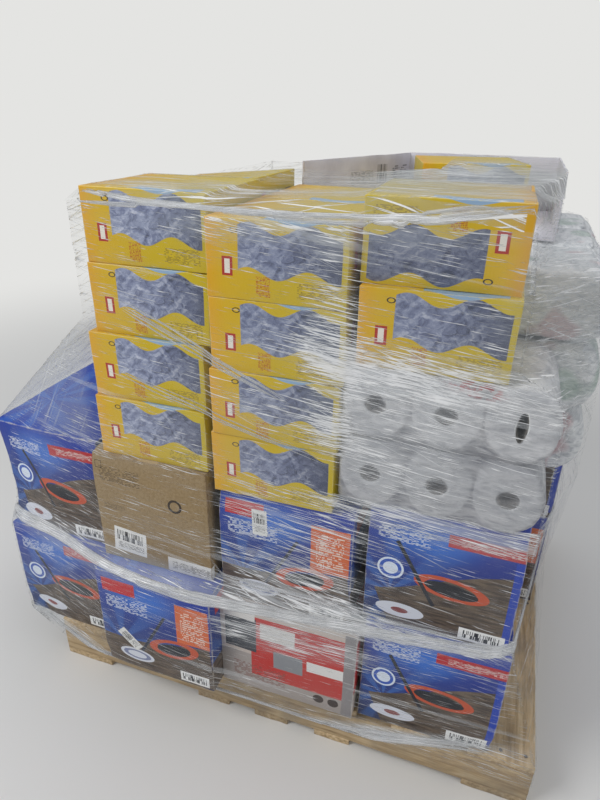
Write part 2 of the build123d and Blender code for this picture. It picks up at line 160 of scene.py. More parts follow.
def box_shell(size, edge, step, shape):
    """A closed box with rounded edges as points, faces and panel map. shape moves each point.

    The map gives each face its own tile: front 0, right 1, back 2, left 3, top and bottom above
    and below the front."""
    lines = [stations(s, edge, step) for s in size]
    last = [len(l) - 1 for l in lines]
    index, points, faces, charts = {}, [], [], []

    def point(i, j, k):
        if (i, j, k) not in index:
            raw = Vector((lines[0][i], lines[1][j], lines[2][k]))
            core = Vector([min(max(raw[a], edge), size[a] - edge) for a in range(3)])
            off = raw - core
            if off.length > edge:
                off = off.normalized() * edge
            at = core + off
            index[i, j, k] = len(points)
            points.append(shape(at, raw))
        return index[i, j, k]

    # Each pair of sides: the two axes that run over it, and for either side its place on the
    # third axis and where and which way its tile runs.
    for a, b, *pair in (
        (0, 2, (0, 0, 1, 0, 1), (last[1], 3, -1, 0, 1)),
        (1, 2, (last[0], 1, 1, 0, 1), (0, 4, -1, 0, 1)),
        (0, 1, (last[2], 0, 1, 1, 1), (0, 0, 1, 0, -1)),
    ):
        for m in range(last[a]):
            for n in range(last[b]):
                ids = ((m, n), (m + 1, n), (m + 1, n + 1), (m, n + 1))
                for end, u, u_way, v, v_way in pair:
                    face, chart = [], []
                    for p, q in ids:
                        corner = [end, end, end]
                        corner[a], corner[b] = p, q
                        face.append(point(*corner))
                        chart.append((u + u_way * lines[a][p] / size[a], v + v_way * lines[b][q] / size[b]))
                    faces.append(face)
                    charts.append(chart)
                    ids = ids[::-1]
    return points, faces, charts


made_pieces = []


def piece(name, shells, material, nodes):
    mesh = bpy.data.meshes.new(name)
    points, faces, charts, own = [], [], [], []
    for number, (p, f, c) in enumerate(shells):
        base = len(points)
        points += [tuple(v * MM for v in q) for q in p]
        faces += [[base + n for n in q] for q in f]
        charts += c
        own += [random.Random(name + str(number)).random()] * len(p)
    mesh.from_pydata(points, [], faces)
    chart = mesh.uv_layers.new(name="panel")
    chart.data.foreach_set("uv", [n for face in charts for corner in face for n in corner])
    tint = mesh.attributes.new("piece", "FLOAT", "POINT")
    tint.data.foreach_set("value", own)
    mesh.polygons.foreach_set("use_smooth", [True] * len(mesh.polygons))
    mesh.materials.append(material)
    made = linked(name, mesh)
    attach(made, "root")
    if nodes:
        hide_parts(*nodes)
    made_pieces.append(made)
    return made


def rings_joined(count, sides, chart, closed=False):
    """The faces between count rings of sides points each, and chart's map corners of each."""
    faces, charts = [], []
    for r in range(count if closed else count - 1):
        n = (r + 1) % count
        for t in range(sides):
            q = (t + 1) % sides
            faces.append([r * sides + t, n * sides + t, n * sides + q, r * sides + q])
            charts.append([chart(*corner) for corner in ((r, t), (r + 1, t), (r + 1, t + 1), (r, t + 1))])
    return faces, charts


def placed(shell, x, y, z, yaw=0.0):
    """A shell turned about its front left corner and set in its place."""
    p, f, c = shell
    spin = Matrix.Rotation(math.radians(yaw), 3, "Z")
    return [spin @ q + Vector((x, y, z)) for q in p], f, c


def plank(x0, x1, y0, y1, z0, z1, seed):
    """A sawn board: worn arrises, a slight bow, and ends that aren't quite square."""
    size = (x1 - x0, y1 - y0, z1 - z0)
    along = 0 if size[0] > size[1] else 1

    def worn(at, raw):
        t = (at + Vector((x0, y0, z0))) * 0.011 + Vector((seed * 7.3, 0, 0))
        n = noise.noise_vector(t)
        f = noise.noise_vector(t * 5)
        out = Vector((n.x * 1.2 + f.x * 0.5, n.y * 1.2 + f.y * 0.5, n.z * 0.5))
        edge = min(raw[along], size[along] - raw[along])
        if edge < 2.0:
            out[along] = -abs(f[along]) * 3.0 if raw[along] > size[along] / 2 else abs(f[along]) * 3.0
        return at + out

    return placed(box_shell(size, 2.2, 22.0, worn), x0, y0, z0)


# The pallet's half length and half width, its boards' thickness and two widths, in mm.
HALF_L, HALF_W = 609.5, 508.0
BOARD, LEAD, NARROW = 19, 140, 89
RAIL_TOP = 108
RAILS = {"front": -489.0, "middle": 0.0, "back": 489.0}
for name, y in RAILS.items():
    rail = plank(-HALF_L, HALF_L, y - 19, y + 19, BOARD, RAIL_TOP, y)
    piece("rail_" + name, [rail], pine_along_x, ["stringer_" + name])
leads = [(-HALF_L, LEAD), (HALF_L - LEAD, LEAD)]
deck = leads + [(-387.2 + 171.3 * i, NARROW) for i in range(5)]
bottom = leads + [(x, NARROW) for x in (-203.5, -44.5, 114.5)]
for name, boards, z, first in (("deck", deck, RAIL_TOP, 1), ("bottom", bottom, 0, 11)):
    sawn = [plank(x, x + w, -HALF_W, HALF_W, z, z + BOARD, first + i) for i, (x, w) in enumerate(boards)]
    piece(name + "_planks", sawn, pine_along_y, [name + "_boards"])

# Nail heads: two or three where each board crosses a rail, by Geometry Nodes.
steel, tree, place = start("dull_nail_steel")
rust = add(tree, "TexNoise", {"Vector": place, "Scale": 400.0, "Detail": 3.0})
worn = add(tree, "ValToRGB", [rust], [(0.35, "#5A4A40"), (0.6, "#8B8A88")])
skin = add(tree, "BsdfPrincipled", {"Base Color": worn, "Metallic": 0.8, "Roughness": 0.55})
add(tree, "OutputMaterial", [skin])

heads = bpy.data.node_groups.new("nail_heads", "GeometryNodeTree")
for label, kind, first in (
    ("Crossings", "NodeSocketGeometry", None),
    ("Head radius", "NodeSocketFloat", 3.6 * MM),
    ("Head thickness", "NodeSocketFloat", 1.4 * MM),
    ("Tilt", "NodeSocketVector", (0.1, 0.1, 3.0)),
    ("Seed", "NodeSocketInt", 11),
):
    socket = heads.interface.new_socket(name=label, in_out="INPUT", socket_type=kind)
    if first is not None:
        socket.default_value = first
heads.interface.new_socket(name="Heads", in_out="OUTPUT", socket_type="NodeSocketGeometry")
given = add(heads, "NodeGroupInput").outputs
disc = add(
    heads,
    "GeometryNodeMeshCylinder",
    {"Vertices": 14, "Radius": given["Head radius"], "Depth": given["Head thickness"]},
)
turned = add(
    heads,
    "FunctionNodeRandomValue",
    {0: (0.0, 0.0, 0.0), 1: given["Tilt"], "Seed": given["Seed"]},
    data_type="FLOAT_VECTOR",
)
on_points = add(
    heads,
    "GeometryNodeInstanceOnPoints",
    {"Points": given["Crossings"], "Instance": disc, "Rotation": turned},
)
real = add(heads, "GeometryNodeRealizeInstances", [on_points])
add(heads, "NodeGroupOutput", [add(heads, "GeometryNodeSetMaterial", {"Geometry": real, "Material": steel})])
luck = random.Random(4)
crossings = []
for x0, wide in deck:
    count = 3 if wide == LEAD else 2
    for y in RAILS.values():
        for i in range(count):
            x = x0 + 22 + i * (wide - 44) / (count - 1) + luck.uniform(-5, 5)
            crossings.append((x * MM, (y + luck.uniform(-8, 8)) * MM, (RAIL_TOP + BOARD - 0.3) * MM))
marks = bpy.data.meshes.new("nail_crossings")
marks.from_pydata(crossings, [], [])
host = linked("nail_crossings", marks)
driven = host.modifiers.new("nails", "NODES")
driven.node_group = heads
for item in heads.interface.items_tree:
    if item.name == "Head radius":
        driven[item.identifier] = 4.2 * MM
plain_heads = bpy.data.meshes.new_from_object(host.evaluated_get(bpy.context.evaluated_depsgraph_get()))
host.modifiers.remove(driven)
bpy.data.objects.remove(host)
nails = linked("nail_heads", plain_heads)
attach(nails, "root")

# Blue cartons
# Corrugated cartons of a boxed cleaning set, litho-printed in royal blue, six in front and
# eight behind. Two faces of the same print show. The board bulges and its edges are rubbed.


def carton(size, seed, bulge=2.0, dents=(), squash=0.0, edge=2.5, step=26.0):
    """A filled carton: sides bowed a little, soft low creases, own dents, top left side squashed."""
    w, d, h = size

    def pushed(at, raw):
        u, v, t = raw.x / w, raw.y / d, raw.z / h
        p = at + Vector((seed * 37.1, seed * 11.7, 0))
        low = noise.noise_vector(p * 0.008)
        fine = noise.noise_vector(p * 0.03)
        off = Vector((low.x * 1.3 + fine.x * 0.4, low.y * 1.3 + fine.y * 0.4, low.z * 0.9 + fine.z * 0.3))
        su, sv, st = math.sin(math.pi * u), math.sin(math.pi * v), math.sin(math.pi * t)
        off.x += bulge * (u - 0.5) * 2 * sv * st * 0.4
        off.y += bulge * (v - 0.5) * 2 * su * st
        off.z += -bulge * 0.6 * (1 if t > 0.5 else -0.3) * su * sv
        for centre, radius, push in dents:
            reach = (raw - Vector(centre)).length / radius
            if reach < 1:
                off += Vector(push) * (1 - reach * reach) ** 2
        off.z -= squash * (1 - u) * t
        return at + off

    return box_shell(size, edge, step, pushed)


def square_reach(tree, local):
    """How far a place lies from the middle, by the longer of its two ways."""
    x, y, z = add(tree, "SeparateXYZ", [add(tree, "VectorMath ABSOLUTE", [local])]).outputs
    return add(tree, "Math MAXIMUM", [x, y])


def print_on(tree, panel, below, ink, form, at, half, turn=0.0, ripple=None, seed=0.0):
    """One printed form on the panel map: a block, disc, ring, frame, small rows or bars in one ink.

    at and half are its middle and half size, turn its lean in degrees; ripple is the height and
    number of the waves that bend it."""
    if ripple:
        x = add(tree, "SeparateXYZ", [panel])
        wave = add(tree, "Math SINE", [add(tree, "Math MULTIPLY_ADD", [x, ripple[1], seed])])
        lift = add(tree, "CombineXYZ", {1: add(tree, "Math MULTIPLY", [wave, ripple[0]])})
        panel = add(tree, "VectorMath ADD", [panel, lift])
    lay = [(*at, 0), (0, 0, math.radians(turn)), (*half, 1)]
    local = add(tree, "Mapping", [panel, *lay], vector_type="TEXTURE")
    if form in ("disc", "ring"):
        reach = add(tree, "VectorMath LENGTH", [local])
    else:
        reach = square_reach(tree, local)
    limit = {"ring": [0.84, 0.16], "frame": [0.93, 0.07]}.get(form, [1.0])
    mask = add(tree, "Math COMPARE" if len(limit) > 1 else "Math LESS_THAN", [reach, *limit])
    if form in ("rows", "bars"):
        cells = (26.0, 0.5, 1.0) if form == "bars" else (11.0, 7.0, 1.0)
        grid = add(tree, "VectorMath MULTIPLY", [local, cells])
        whole = add(tree, "VectorMath FLOOR", [grid])
        chance = add(tree, "TexWhiteNoise", [whole, seed], noise_dimensions="4D")
        kept = add(tree, "Math GREATER_THAN", [chance, 0.42])
        mask = add(tree, "Math MULTIPLY", [mask, kept])
        if form == "rows":
            part = add(tree, "VectorMath FRACTION", [grid])
            line = add(tree, "Math LESS_THAN", [add(tree, "SeparateXYZ", [part]).outputs[1], 0.5])
            mask = add(tree, "Math MULTIPLY", [mask, line])
    return add(tree, "Mix", {0: mask, 6: below, 7: ink}, data_type="RGBA")


def printed_board(name, ground, prints, bare, gloss):
    """Corrugated board with a printed liner: inks, flute lines 7 mm apart, rubbed edges, dust."""
    made, tree, place = start(name)
    chart = add(tree, "UVMap", uv_map="panel")
    # The back carries the front's print, and the left side the right's.
    panel = add(tree, "VectorMath MODULO", [chart, (2.0, 9.0, 1.0)])
    colour = ground(tree, panel, place) if callable(ground) else ground
    for row in prints:
        ink = row[0](tree, panel, place) if callable(row[0]) else row[0]
        colour = print_on(tree, panel, colour, ink, *row[1:])
    cell = add(tree, "VectorMath FRACTION", [panel])
    from_middle = add(tree, "VectorMath SUBTRACT", [cell, (0.5, 0.5, 0.5)])
    reach = square_reach(tree, from_middle)
    scuff = add(tree, "TexNoise", {"Vector": place, "Scale": 55.0, "Detail": 6.0, "Roughness": 0.7})
    edge = add(tree, "Math MULTIPLY_ADD", [scuff, 0.045, reach])
    rubbed = add(tree, "MapRange", [edge, 0.514, 0.526, 0.0, 0.75])
    colour = add(tree, "Mix", {0: rubbed, 6: colour, 7: bare}, data_type="RGBA")
    dust = add(tree, "TexNoise", {"Vector": place, "Scale": 5.0, "Detail": 4.0})
    veil = add(tree, "MapRange", [dust, 0.45, 0.8, 0.0, 0.14])
    colour = add(tree, "Mix", {0: veil, 6: colour, 7: "#A7A29A"}, data_type="RGBA")
    across_flutes = add(tree, "SeparateXYZ", [panel])
    flutes = add(tree, "Math SINE", [add(tree, "Math MULTIPLY", [across_flutes, 270.0])])
    dent = add(tree, "TexNoise", {"Vector": place, "Scale": 22.0, "Detail": 3.0})
    height = add(tree, "Math MULTIPLY_ADD", [flutes, 0.02, dent])
    rough = add(tree, "MapRange", [scuff, 0.3, 0.7, gloss - 0.08, gloss + 0.12])
    return finished(made, tree, colour, rough, height, 3.0, 0.5)


def blue_ground(tree, panel, place):
    """Royal blue with paler rays out of the lower left and a darker top."""
    local = add(tree, "Mapping", [add(tree, "VectorMath FRACTION", [panel]), (-0.18, -0.3, 0)])
    x, y, z = add(tree, "SeparateXYZ", [local]).outputs
    angle = add(tree, "Math ARCTAN2", [y, x])
    rays = add(tree, "Math SINE", [add(tree, "Math MULTIPLY", [angle, 9.0])])
    reach = add(tree, "VectorMath LENGTH", [local])
    fade = add(tree, "MapRange", [reach, 0.05, 0.75, 0.42, 0.0])
    strength = add(tree, "MapRange", [rays, -0.2, 0.5, 0.25, 1.0])
    amount = add(tree, "Math MULTIPLY", [strength, fade])
    up = add(tree, "SeparateXYZ", [panel]).outputs[1]
    base = add(tree, "Mix", {0: up, 6: "#0C1746", 7: "#1237A2"}, data_type="RGBA")
    rayed = add(tree, "Mix", {0: amount, 6: base, 7: "#4C8BE0"}, data_type="RGBA")
    spot = add(tree, "Mapping", {0: panel, 1: (0.42, 0.8, 0), 3: (0.42, 0.24, 1)}, vector_type="TEXTURE")
    glow = add(tree, "VectorMath LENGTH", [spot])
    lit = add(tree, "MapRange", [glow, 1.0, 0.1, 0.0, 0.6], interpolation_type="SMOOTHSTEP")
    return add(tree, "Mix", {0: lit, 6: rayed, 7: "#3F86E6"}, data_type="RGBA")


def plank_print(tree, panel, place):
    """Printed brown floorboards."""
    stretch = add(tree, "Mapping", {0: panel, 3: (2.0, 16.0, 1.0)})
    grain = add(tree, "TexNoise", {"Vector": stretch, "Scale": 3.0, "Detail": 5.0})
    return add(tree, "ValToRGB", [grain], [(0.3, "#332B27"), (0.48, "#56493F"), (0.7, "#7A6A58")])


side_prints = [
    (plank_print, "block", (1.5, 0.14), (0.5, 0.16), 0, (0.03, 5.0)),
    ("#C3242B", "block", (1.16, 0.86), (0.11, 0.08)),
    ("#C8552F", "ring", (1.66, 0.42), (0.13, 0.13)),
    ("#20242F", "disc", (1.66, 0.42), (0.09, 0.09)),
    ("#DADDE8", "rows", (1.3, 0.52), (0.16, 0.12)),
]
blue_wide = printed_board(
    "litho_printed_corrugated_blue",
    blue_ground,
    [
        (plank_print, "block", (0.5, 0.16), (0.5, 0.22), 6, (0.03, 5.0)),
        ("#C3242B", "block", (0.2, 0.87), (0.15, 0.065)),
        ("#E8ECF2", "rows", (0.26, 0.7), (0.19, 0.07)),
        ("#D9662E", "block", (0.84, 0.66), (0.14, 0.2)),
        ("#F0D9C8", "rows", (0.84, 0.66), (0.1, 0.15), 0, None, 3.0),
        ("#C4502C", "ring", (0.66, 0.36), (0.22, 0.1), 8),
        ("#1B1F2A", "disc", (0.66, 0.35), (0.15, 0.06), 8),
        ("#2A3040", "block", (0.46, 0.42), (0.012, 0.3), -28),
        ("#D9DCE6", "disc", (0.3, 0.16), (0.16, 0.07)),
        ("#7E86A6", "ring", (0.3, 0.16), (0.13, 0.05)),
        ("#F2F2F0", "block", (0.83, 0.08), (0.13, 0.055)),
        ("#23262E", "bars", (0.83, 0.08), (0.11, 0.035)),
    ]
    + side_prints,
    "#C9C3B8",
    0.36,
)
blue_banner = printed_board(
    "litho_printed_corrugated_blue_banner",
    blue_ground,
    [
        (plank_print, "block", (0.74, 0.25), (0.6, 0.3), 22, (0.02, 7.0)),
        ("#1B42B0", "block", (0.975, 0.42), (0.03, 0.36)),
        ("#B9232C", "block", (0.8, 0.84), (0.28, 0.05), 0),
        ("#EDE6DE", "rows", (0.8, 0.84), (0.2, 0.025), 0, None, 5.0),
        ("#E8ECF2", "rows", (0.24, 0.8), (0.17, 0.06)),
        ("#DCE6F4", "disc", (0.17, 0.5), (0.09, 0.09)),
        ("#2E59B8", "ring", (0.17, 0.5), (0.075, 0.075)),
        ("#C4502C", "ring", (0.58, 0.44), (0.25, 0.09), -6),
        ("#171B25", "disc", (0.58, 0.43), (0.18, 0.055), -6),
        ("#20242F", "block", (0.34, 0.5), (0.014, 0.28), 30),
        ("#D9DCE6", "disc", (0.26, 0.14), (0.17, 0.065)),
        ("#8C4A4A", "disc", (0.26, 0.14), (0.06, 0.024)),
        ("#F2F2F0", "block", (0.82, 0.08), (0.15, 0.055)),
        ("#23262E", "bars", (0.82, 0.08), (0.12, 0.035)),
    ]
    + side_prints,
    "#C9C3B8",
    0.36,
)
BLUE = (297.0, 495.0, 290.0)
# The undersides of the first two tiers; the middle carton stands on the lower red one.
T1, T2, T2M = 127.3, 417.6, 380.6
fronts = {}
low_dent = [((30, 0, 20), 70, (6, 5, 3)), ((290, 0, 280), 40, (-3, 4, -4))]
crushed = [
    ((0, 0, 150), 210, (4, 24, -2)),
    ((60, 0, 285), 90, (3, 10, -9)),
    ((0, 100, 220), 120, (5, 0, -4)),
    ((150, 0, 240), 50, (0, 5, -5)),
    ((20, 0, 60), 90, (5, 6, 0)),
]
for name, seed, at, dents, board in (
    ("low_outer", 1, (-719, -500, T1, -0.8), low_dent, blue_banner),
    (
        "low_left", 2, (-414, -573, T1, 0),
        [((297, 0, 290), 60, (-4, 5, -5)), ((0, 0, 10), 50, (4, 4, 0))],
        blue_wide,
    ),
    ("low_right", 3, (218.5, -509, T1, 0.1), [((297, 0, 0), 70, (-5, 5, 3))], blue_banner),
    ("high_outer", 4, (-722, -490, T2, -0.2), crushed, blue_banner),
    ("high_middle", 5, (-116.5, -504, T2M, 0), [((0, 0, 290), 50, (4, 4, -4))], blue_wide),
    (
        "high_right", 6, (206.5, -492, T2, -0.7),
        [((297, 0, 290), 70, (-5, 6, -6)), ((150, 0, 290), 90, (0, 3, -3))],
        blue_banner,
    ),
):
    shell = placed(carton(BLUE, seed, 2.5, dents), *at)
    fronts[name] = piece("printed_carton_" + name, [shell], board, ["blue_carton_" + name])
for name, z, board in (("low", T1, blue_wide), ("high", T2, blue_banner)):
    row = [placed(carton(BLUE, 10 + i + z, 2.0), -594.75 + 297.5 * i, 8, z) for i in range(4)]
    piece("printed_cartons_back_" + name, row, board, ["back_cartons_" + name])


def gathered(objects):
    """One search tree of these objects' faces."""
    points, faces = [], []
    for made in objects:
        base = len(points)
        points += [v.co for v in made.data.vertices]
        faces += [[base + n for n in p.vertices] for p in made.data.polygons]
    return BVHTree.FromPolygons(points, faces)


def sticker(target, x, z, w, h, turn):
    """A paper label stuck on a carton's front, following its bulges."""
    wall = gathered([target])
    spin = Matrix.Rotation(math.radians(-turn), 3, "Y")

    def stuck(at, raw):
        spot = spin @ Vector((at.x - w / 2, 0, at.z - h / 2)) + Vector((x, 0, z))
        hit = wall.ray_cast(Vector((spot.x * MM, -1.0, spot.z * MM)), Vector((0, 1, 0)))[0]
        return Vector((spot.x, hit.y / MM - 0.5 + at.y, spot.z))

    return box_shell((w, 0.3, h), 0.1, 5.0, stuck)


label_paper = printed_board(
    "white_label_paper",
    "#E9E9E6",
    [
        ("#2B2B2D", "bars", (0.5, 0.66), (0.38, 0.2)),
        ("#3C3C40", "rows", (0.5, 0.26), (0.36, 0.14), 0, None, 9.0),
    ],
    "#D8D6CF",
    0.6,
)
upright = sticker(fronts["high_middle"], -22, 606, 34, 64, 2)
leaning = sticker(fronts["low_left"], -338, 222, 28, 68, 46)
piece("paper_labels", [upright, leaning], label_paper, [])

# Kraft carton
# A plain brown shipping carton: kraft corrugated with one dark ink, a taped top seam, and two
# white labels low down.


def kraft_ground(tree, panel, place):
    """Kraft liner: short fibres and faint cloudiness."""
    fibre = add(tree, "TexNoise", {"Vector": place, "Scale": 160.0, "Detail": 5.0, "Roughness": 0.75})
    return add(tree, "ValToRGB", [fibre], [(0.3, "#87704D"), (0.5, "#9A835F"), (0.75, "#AB9570")])


kraft = printed_board(
    "kraft_corrugated",
    kraft_ground,
    [
        ("#5E4E39", "rows", (0.24, 0.82), (0.18, 0.07)),
        ("#3B3128", "frame", (0.06, 0.9), (0.03, 0.035)),
        ("#3B3128", "ring", (0.72, 0.66), (0.06, 0.06)),
        ("#5E4E39", "rows", (0.16, 0.52), (0.1, 0.025), 0, None, 2.0),
        ("#ECEBE6", "block", (0.27, 0.2), (0.15, 0.12), -5),
        ("#2B2A29", "bars", (0.27, 0.24), (0.12, 0.05), -5),
        ("#2B2A29", "rows", (0.27, 0.14), (0.12, 0.03), -5, None, 8.0),
        ("#E6E4DD", "block", (0.82, 0.07), (0.21, 0.07), -2),
        ("#55504A", "rows", (0.82, 0.07), (0.17, 0.04), -2, None, 4.0),
        ("#B79F74", "block", (0.5, 1.5), (0.09, 0.5)),
        ("#3B3128", "rows", (1.4, 0.7), (0.2, 0.1), 0, None, 6.0),
    ],
    "#7D6646",
    0.72,
)
dents = [((284, 0, 286), 60, (-3, 4, -4)), ((0, 0, 286), 40, (3, 3, -3))]
kraft_box = placed(carton((284, 480, 286), 21, 3.0, dents), -420, -519, T2, 0.3)
piece("kraft_shipping_carton", [kraft_box], kraft, ["kraft_carton"])

# Red carton
# A display carton printed in red, white and grey, wider than its neighbours and lower.
red_board = printed_board(
    "litho_printed_corrugated_red",
    "#C9BDB4",
    [
        ("#A9A09B", "block", (0.5, 0.2), (0.5, 0.24)),
        ("#C2322D", "block", (0.58, 0.55), (0.34, 0.36)),
        ("#3C4048", "block", (0.16, 0.68), (0.12, 0.2)),
        ("#DEDBD7", "block", (0.44, 0.76), (0.13, 0.09)),
        ("#E7E5E2", "block", (0.8, 0.5), (0.14, 0.06)),
        ("#8C8F94", "block", (0.52, 0.46), (0.11, 0.1)),
        ("#8F8B8C", "block", (0.96, 0.5), (0.04, 0.5)),
        ("#DEDBD7", "block", (0.15, 0.9), (0.12, 0.05)),
        ("#7B4A42", "rows", (0.3, 0.22), (0.2, 0.1)),
        ("#3A2E2E", "disc", (0.86, 0.12), (0.04, 0.05)),
        ("#3A2E2E", "disc", (0.75, 0.12), (0.04, 0.05)),
        ("#C6332E", "block", (1.5, 0.6), (0.5, 0.3)),
        ("#C6332E", "block", (0.5, 1.5), (0.5, 0.3)),
        ("#E7E5E2", "rows", (1.5, 0.6), (0.3, 0.15), 0, None, 5.0),
    ],
    "#D8D2C8",
    0.4,
)
red_box = placed(carton((325, 480, 253), 31, 2.5), -116.5, -527, T1)
piece("red_display_carton", [red_box], red_board, ["red_carton"])

# Yellow cartons
# Small folding cartons of solid board, yellow with a wide blue-grey field, stacked four high in
# two columns, with two more on the towels and one in the tray. They sit a little askew.


def yellow_ground(tree, panel, place, turned=False):
    """Golden at the left, lemon to the right, or turned over."""
    u = add(tree, "SeparateXYZ", [panel])
    if turned:
        u = add(tree, "Math SUBTRACT", [1.0, u])
    run = add(tree, "MapRange", [u, 0.0, 1.0])
    stops = [(0.0, "#E0A61E"), (0.13, "#DAB11B"), (0.5, "#D0B21A"), (1.0, "#CFB722")]
    return add(tree, "ValToRGB", [run], stops)


def crinkled(tree, panel, place, deep=0.0):
    """Blue-grey crinkled sheet, as printed: pale ridges, dark hollows, darker towards its right; painted
    shade darkens it in the load's middle and right columns, and deep adds painted shade all over.
    """
    stretch = add(tree, "Mapping", {0: panel, 3: (5.0, 3.4, 1.0)})
    warp = add(tree, "TexNoise", {"Vector": stretch, "Scale": 1.6, "Detail": 3.0}).outputs[1]
    bent = add(tree, "VectorMath ADD", [stretch, warp])
    ridges = add(
        tree, "TexNoise", {"Vector": bent, "Scale": 1.5, "Detail": 6.0, "Roughness": 0.62, "Distortion": 1.8}
    )
    steep = [(0, 0, 0), (0, 0, math.radians(62)), (0.5, 0.045, 1.0)]
    run = add(tree, "Mapping", [panel, *steep], vector_type="TEXTURE")
    folds = add(tree, "TexNoise", {"Vector": run, "Scale": 1.0, "Detail": 3.0})
    creased = add(tree, "Mix", {0: 0.26, 2: ridges, 3: folds}, data_type="FLOAT")
    stops = [(0.34, "#4E5468"), (0.45, "#7A82A0"), (0.55, "#9CA4BE"), (0.66, "#CDD1E0")]
    sheet = add(tree, "ValToRGB", [creased], stops)
    across = add(tree, "SeparateXYZ", [add(tree, "VectorMath FRACTION", [panel])])
    shaded = add(tree, "MapRange", [across, 0.55, 0.95, deep, 0.55])
    # Painted shade: the print is darker in the middle and right columns of the load.
    column = add(tree, "SeparateXYZ", [place])
    shaded = add(tree, "Math ADD", [shaded, add(tree, "MapRange", [column, -0.15, -0.1, 0.0, 0.16])])
    return add(tree, "Mix", {0: shaded, 6: sheet, 7: "#2E3448"}, data_type="RGBA")


def yellow_print(flip):
    """The front's forms, or the same turned over for the carton that lies upside down."""
    # The turned carton's sheet takes 0.3 of painted shade all over.
    sheet = (lambda *a: crinkled(*a, 0.3)) if flip else crinkled
    spots = [
        (sheet, "block", (0.6, 0.63), (0.36, 0.27), 0, (0.07, 15.0)),
        ("#B3352A", "block", (0.16, 0.42), (0.04, 0.12)),
        ("#EFE8DA", "block", (0.16, 0.42), (0.02, 0.09)),
        ("#B3352A", "rows", (0.42, 0.2), (0.05, 0.13), 0, None, 1.0),
        ("#86702E", "rows", (0.8, 0.19), (0.14, 0.1), 0, None, 2.0),
        ("#3A342A", "ring", (0.21, 0.86), (0.03, 0.035)),
    ]
    if flip:
        spots = [(s[0], s[1], (1 - s[2][0], 1 - s[2][1])) + s[3:] for s in spots]
    return spots + [
        ("#93B0CC", "block", (0.66, 1.06), (0.26, 0.07), 0, (0.04, 12.0)),
        ("#B59A2A", "block", (0.5, 1.5), (0.5, 0.006)),
        ("#B3352A", "block", (1.2, 0.6), (0.04, 0.16)),
        ("#6B5128", "rows", (1.62, 0.5), (0.26, 0.25), 0, None, 3.0),
    ]


bare = ("#D9C98A", 0.34)
yellow_board = printed_board("printed_solid_board_yellow", yellow_ground, yellow_print(False), *bare)
turned_ground = lambda *a: yellow_ground(*a, turned=True)
yellow_turned = printed_board("printed_solid_board_yellow_turned", turned_ground, yellow_print(True), *bare)
YELLOW = (254.0, 247.0, 138.0)
# The undersides of the third tier: on blue cartons, on the kraft one and on the middle ones.
T3, T3K, T3M = 707.9, 703.9, 670.9
PITCH = 138.3
LEFT = ((-390.5, -509, 0.7), (-388.5, -504, 0.6), (-374.5, -496, 0.7), (-373.5, -493, 0.9))
MIDDLE = ((-120.5, -511.5, 0.8), (-115.5, -515.5, 0.9), (-110.5, -513.5, 1.25), (-111.5, -513.5, 1.0))
for i in range(4):
    for column, z0, (x, y, yaw) in (("left", T3K, LEFT[i]), ("middle", T3M, MIDDLE[i])):
        seed = 40 + i * 2 + len(column)
        box = carton(YELLOW, seed, 1.5, [((250, 0, 136), 40, (-2, 2, -3))], edge=1.6, step=22)
        name = "%s_%d" % (column, i + 1)
        box = placed(box, x, y, z0 + PITCH * i, yaw)
        piece("bag_carton_" + name, [box], yellow_board, ["yellow_" + name])
for name, node, x, rows, z0, tiers in (
    ("left_second_row", "left_second_row", -391, [-241.5], T3K, 4),
    ("middle_second_row", "middle_second_row", -119, [-256.5], T3M, 4),
    ("left_back", "left_back_rows", -391.5, [6, 256], T3, 3),
    ("middle_back", "middle_back_rows", -120, [6, 256], T3, 3),
):
    name = "bag_cartons_" + name
    shells = []
    for number, (y, i) in enumerate((y, i) for y in rows for i in range(tiers)):
        sunk = 24.0 if node == "left_second_row" and i == 3 else 0.0
        box = carton(YELLOW, 60 + number + len(name), 1.2, squash=sunk, edge=1.6, step=24)
        shells.append(placed(box, x, y, z0 + PITCH * i))
    piece(name, shells, yellow_board, ["yellow_" + node])
for name, at, board in (
    ("right_lower", (161.5, -506, 994.5, 1.0), yellow_board),
    ("right_upper", (157.5, -488, 1132.8, 1.55), yellow_turned),
    ("in_tray", (150, 120, 1136.1, 14.0), yellow_board),
):
    box = placed(carton(YELLOW, 80 + at[0] % 7, 1.5, edge=1.6, step=22), *at)
    piece("bag_carton_" + name, [box], board, ["yellow_" + name])

# Paper towels
# Rolls of soft white paper on grey board cores, six in front lying on their sides, pressed
# oval, and packs of the same in thin printed bags behind.


# A pressed roll's half width and half height, and the heights of the two tiers' middles.
ROLL_X, ROLL_Z = 60.5, 71.0
LOW_Z, HIGH_Z = 779.4, 922.7


def towel_paper():
    """Embossed tissue: soft, matt, wound edges on the ends."""
    made, tree, place = start("embossed_tissue_paper")
    emboss = add(tree, "TexVoronoi", {"Vector": place, "Scale": 110.0}, feature="SMOOTH_F1")
    soft = add(tree, "TexNoise", {"Vector": place, "Scale": 14.0, "Detail": 4.0})
    turns = add(tree, "UVMap", uv_map="panel")
    rings = add(tree, "Mapping", {0: turns, 3: (1.5, 70.0, 1.0)})
    layers = add(tree, "TexNoise", {"Vector": rings, "Scale": 1.0, "Detail": 2.0})
    shade = add(tree, "ValToRGB", [layers], [(0.35, "#C9CBCC"), (0.6, "#E4E5E4")])
    cloud = add(tree, "ValToRGB", [soft], [(0.3, "#C6C9CB"), (0.65, "#F0F0EE")])
    colour = add(tree, "Mix", {0: 0.5, 6: shade, 7: cloud}, data_type="RGBA")
    height = add(tree, "Math ADD", [emboss, layers])
    return finished(made, tree, colour, 0.92, height, 1.0, 0.45)


def grey_board():
    """Recycled grey board of the cores: short fibres."""
    made, tree, place = start("recycled_grey_board")
    fibre = add(tree, "TexNoise", {"Vector": place, "Scale": 120.0, "Detail": 5.0})
    colour = add(tree, "ValToRGB", [fibre], [(0.3, "#6E6A66"), (0.7, "#948F88")])
    return finished(made, tree, colour, 0.85, fibre, 0.5, 1.0)


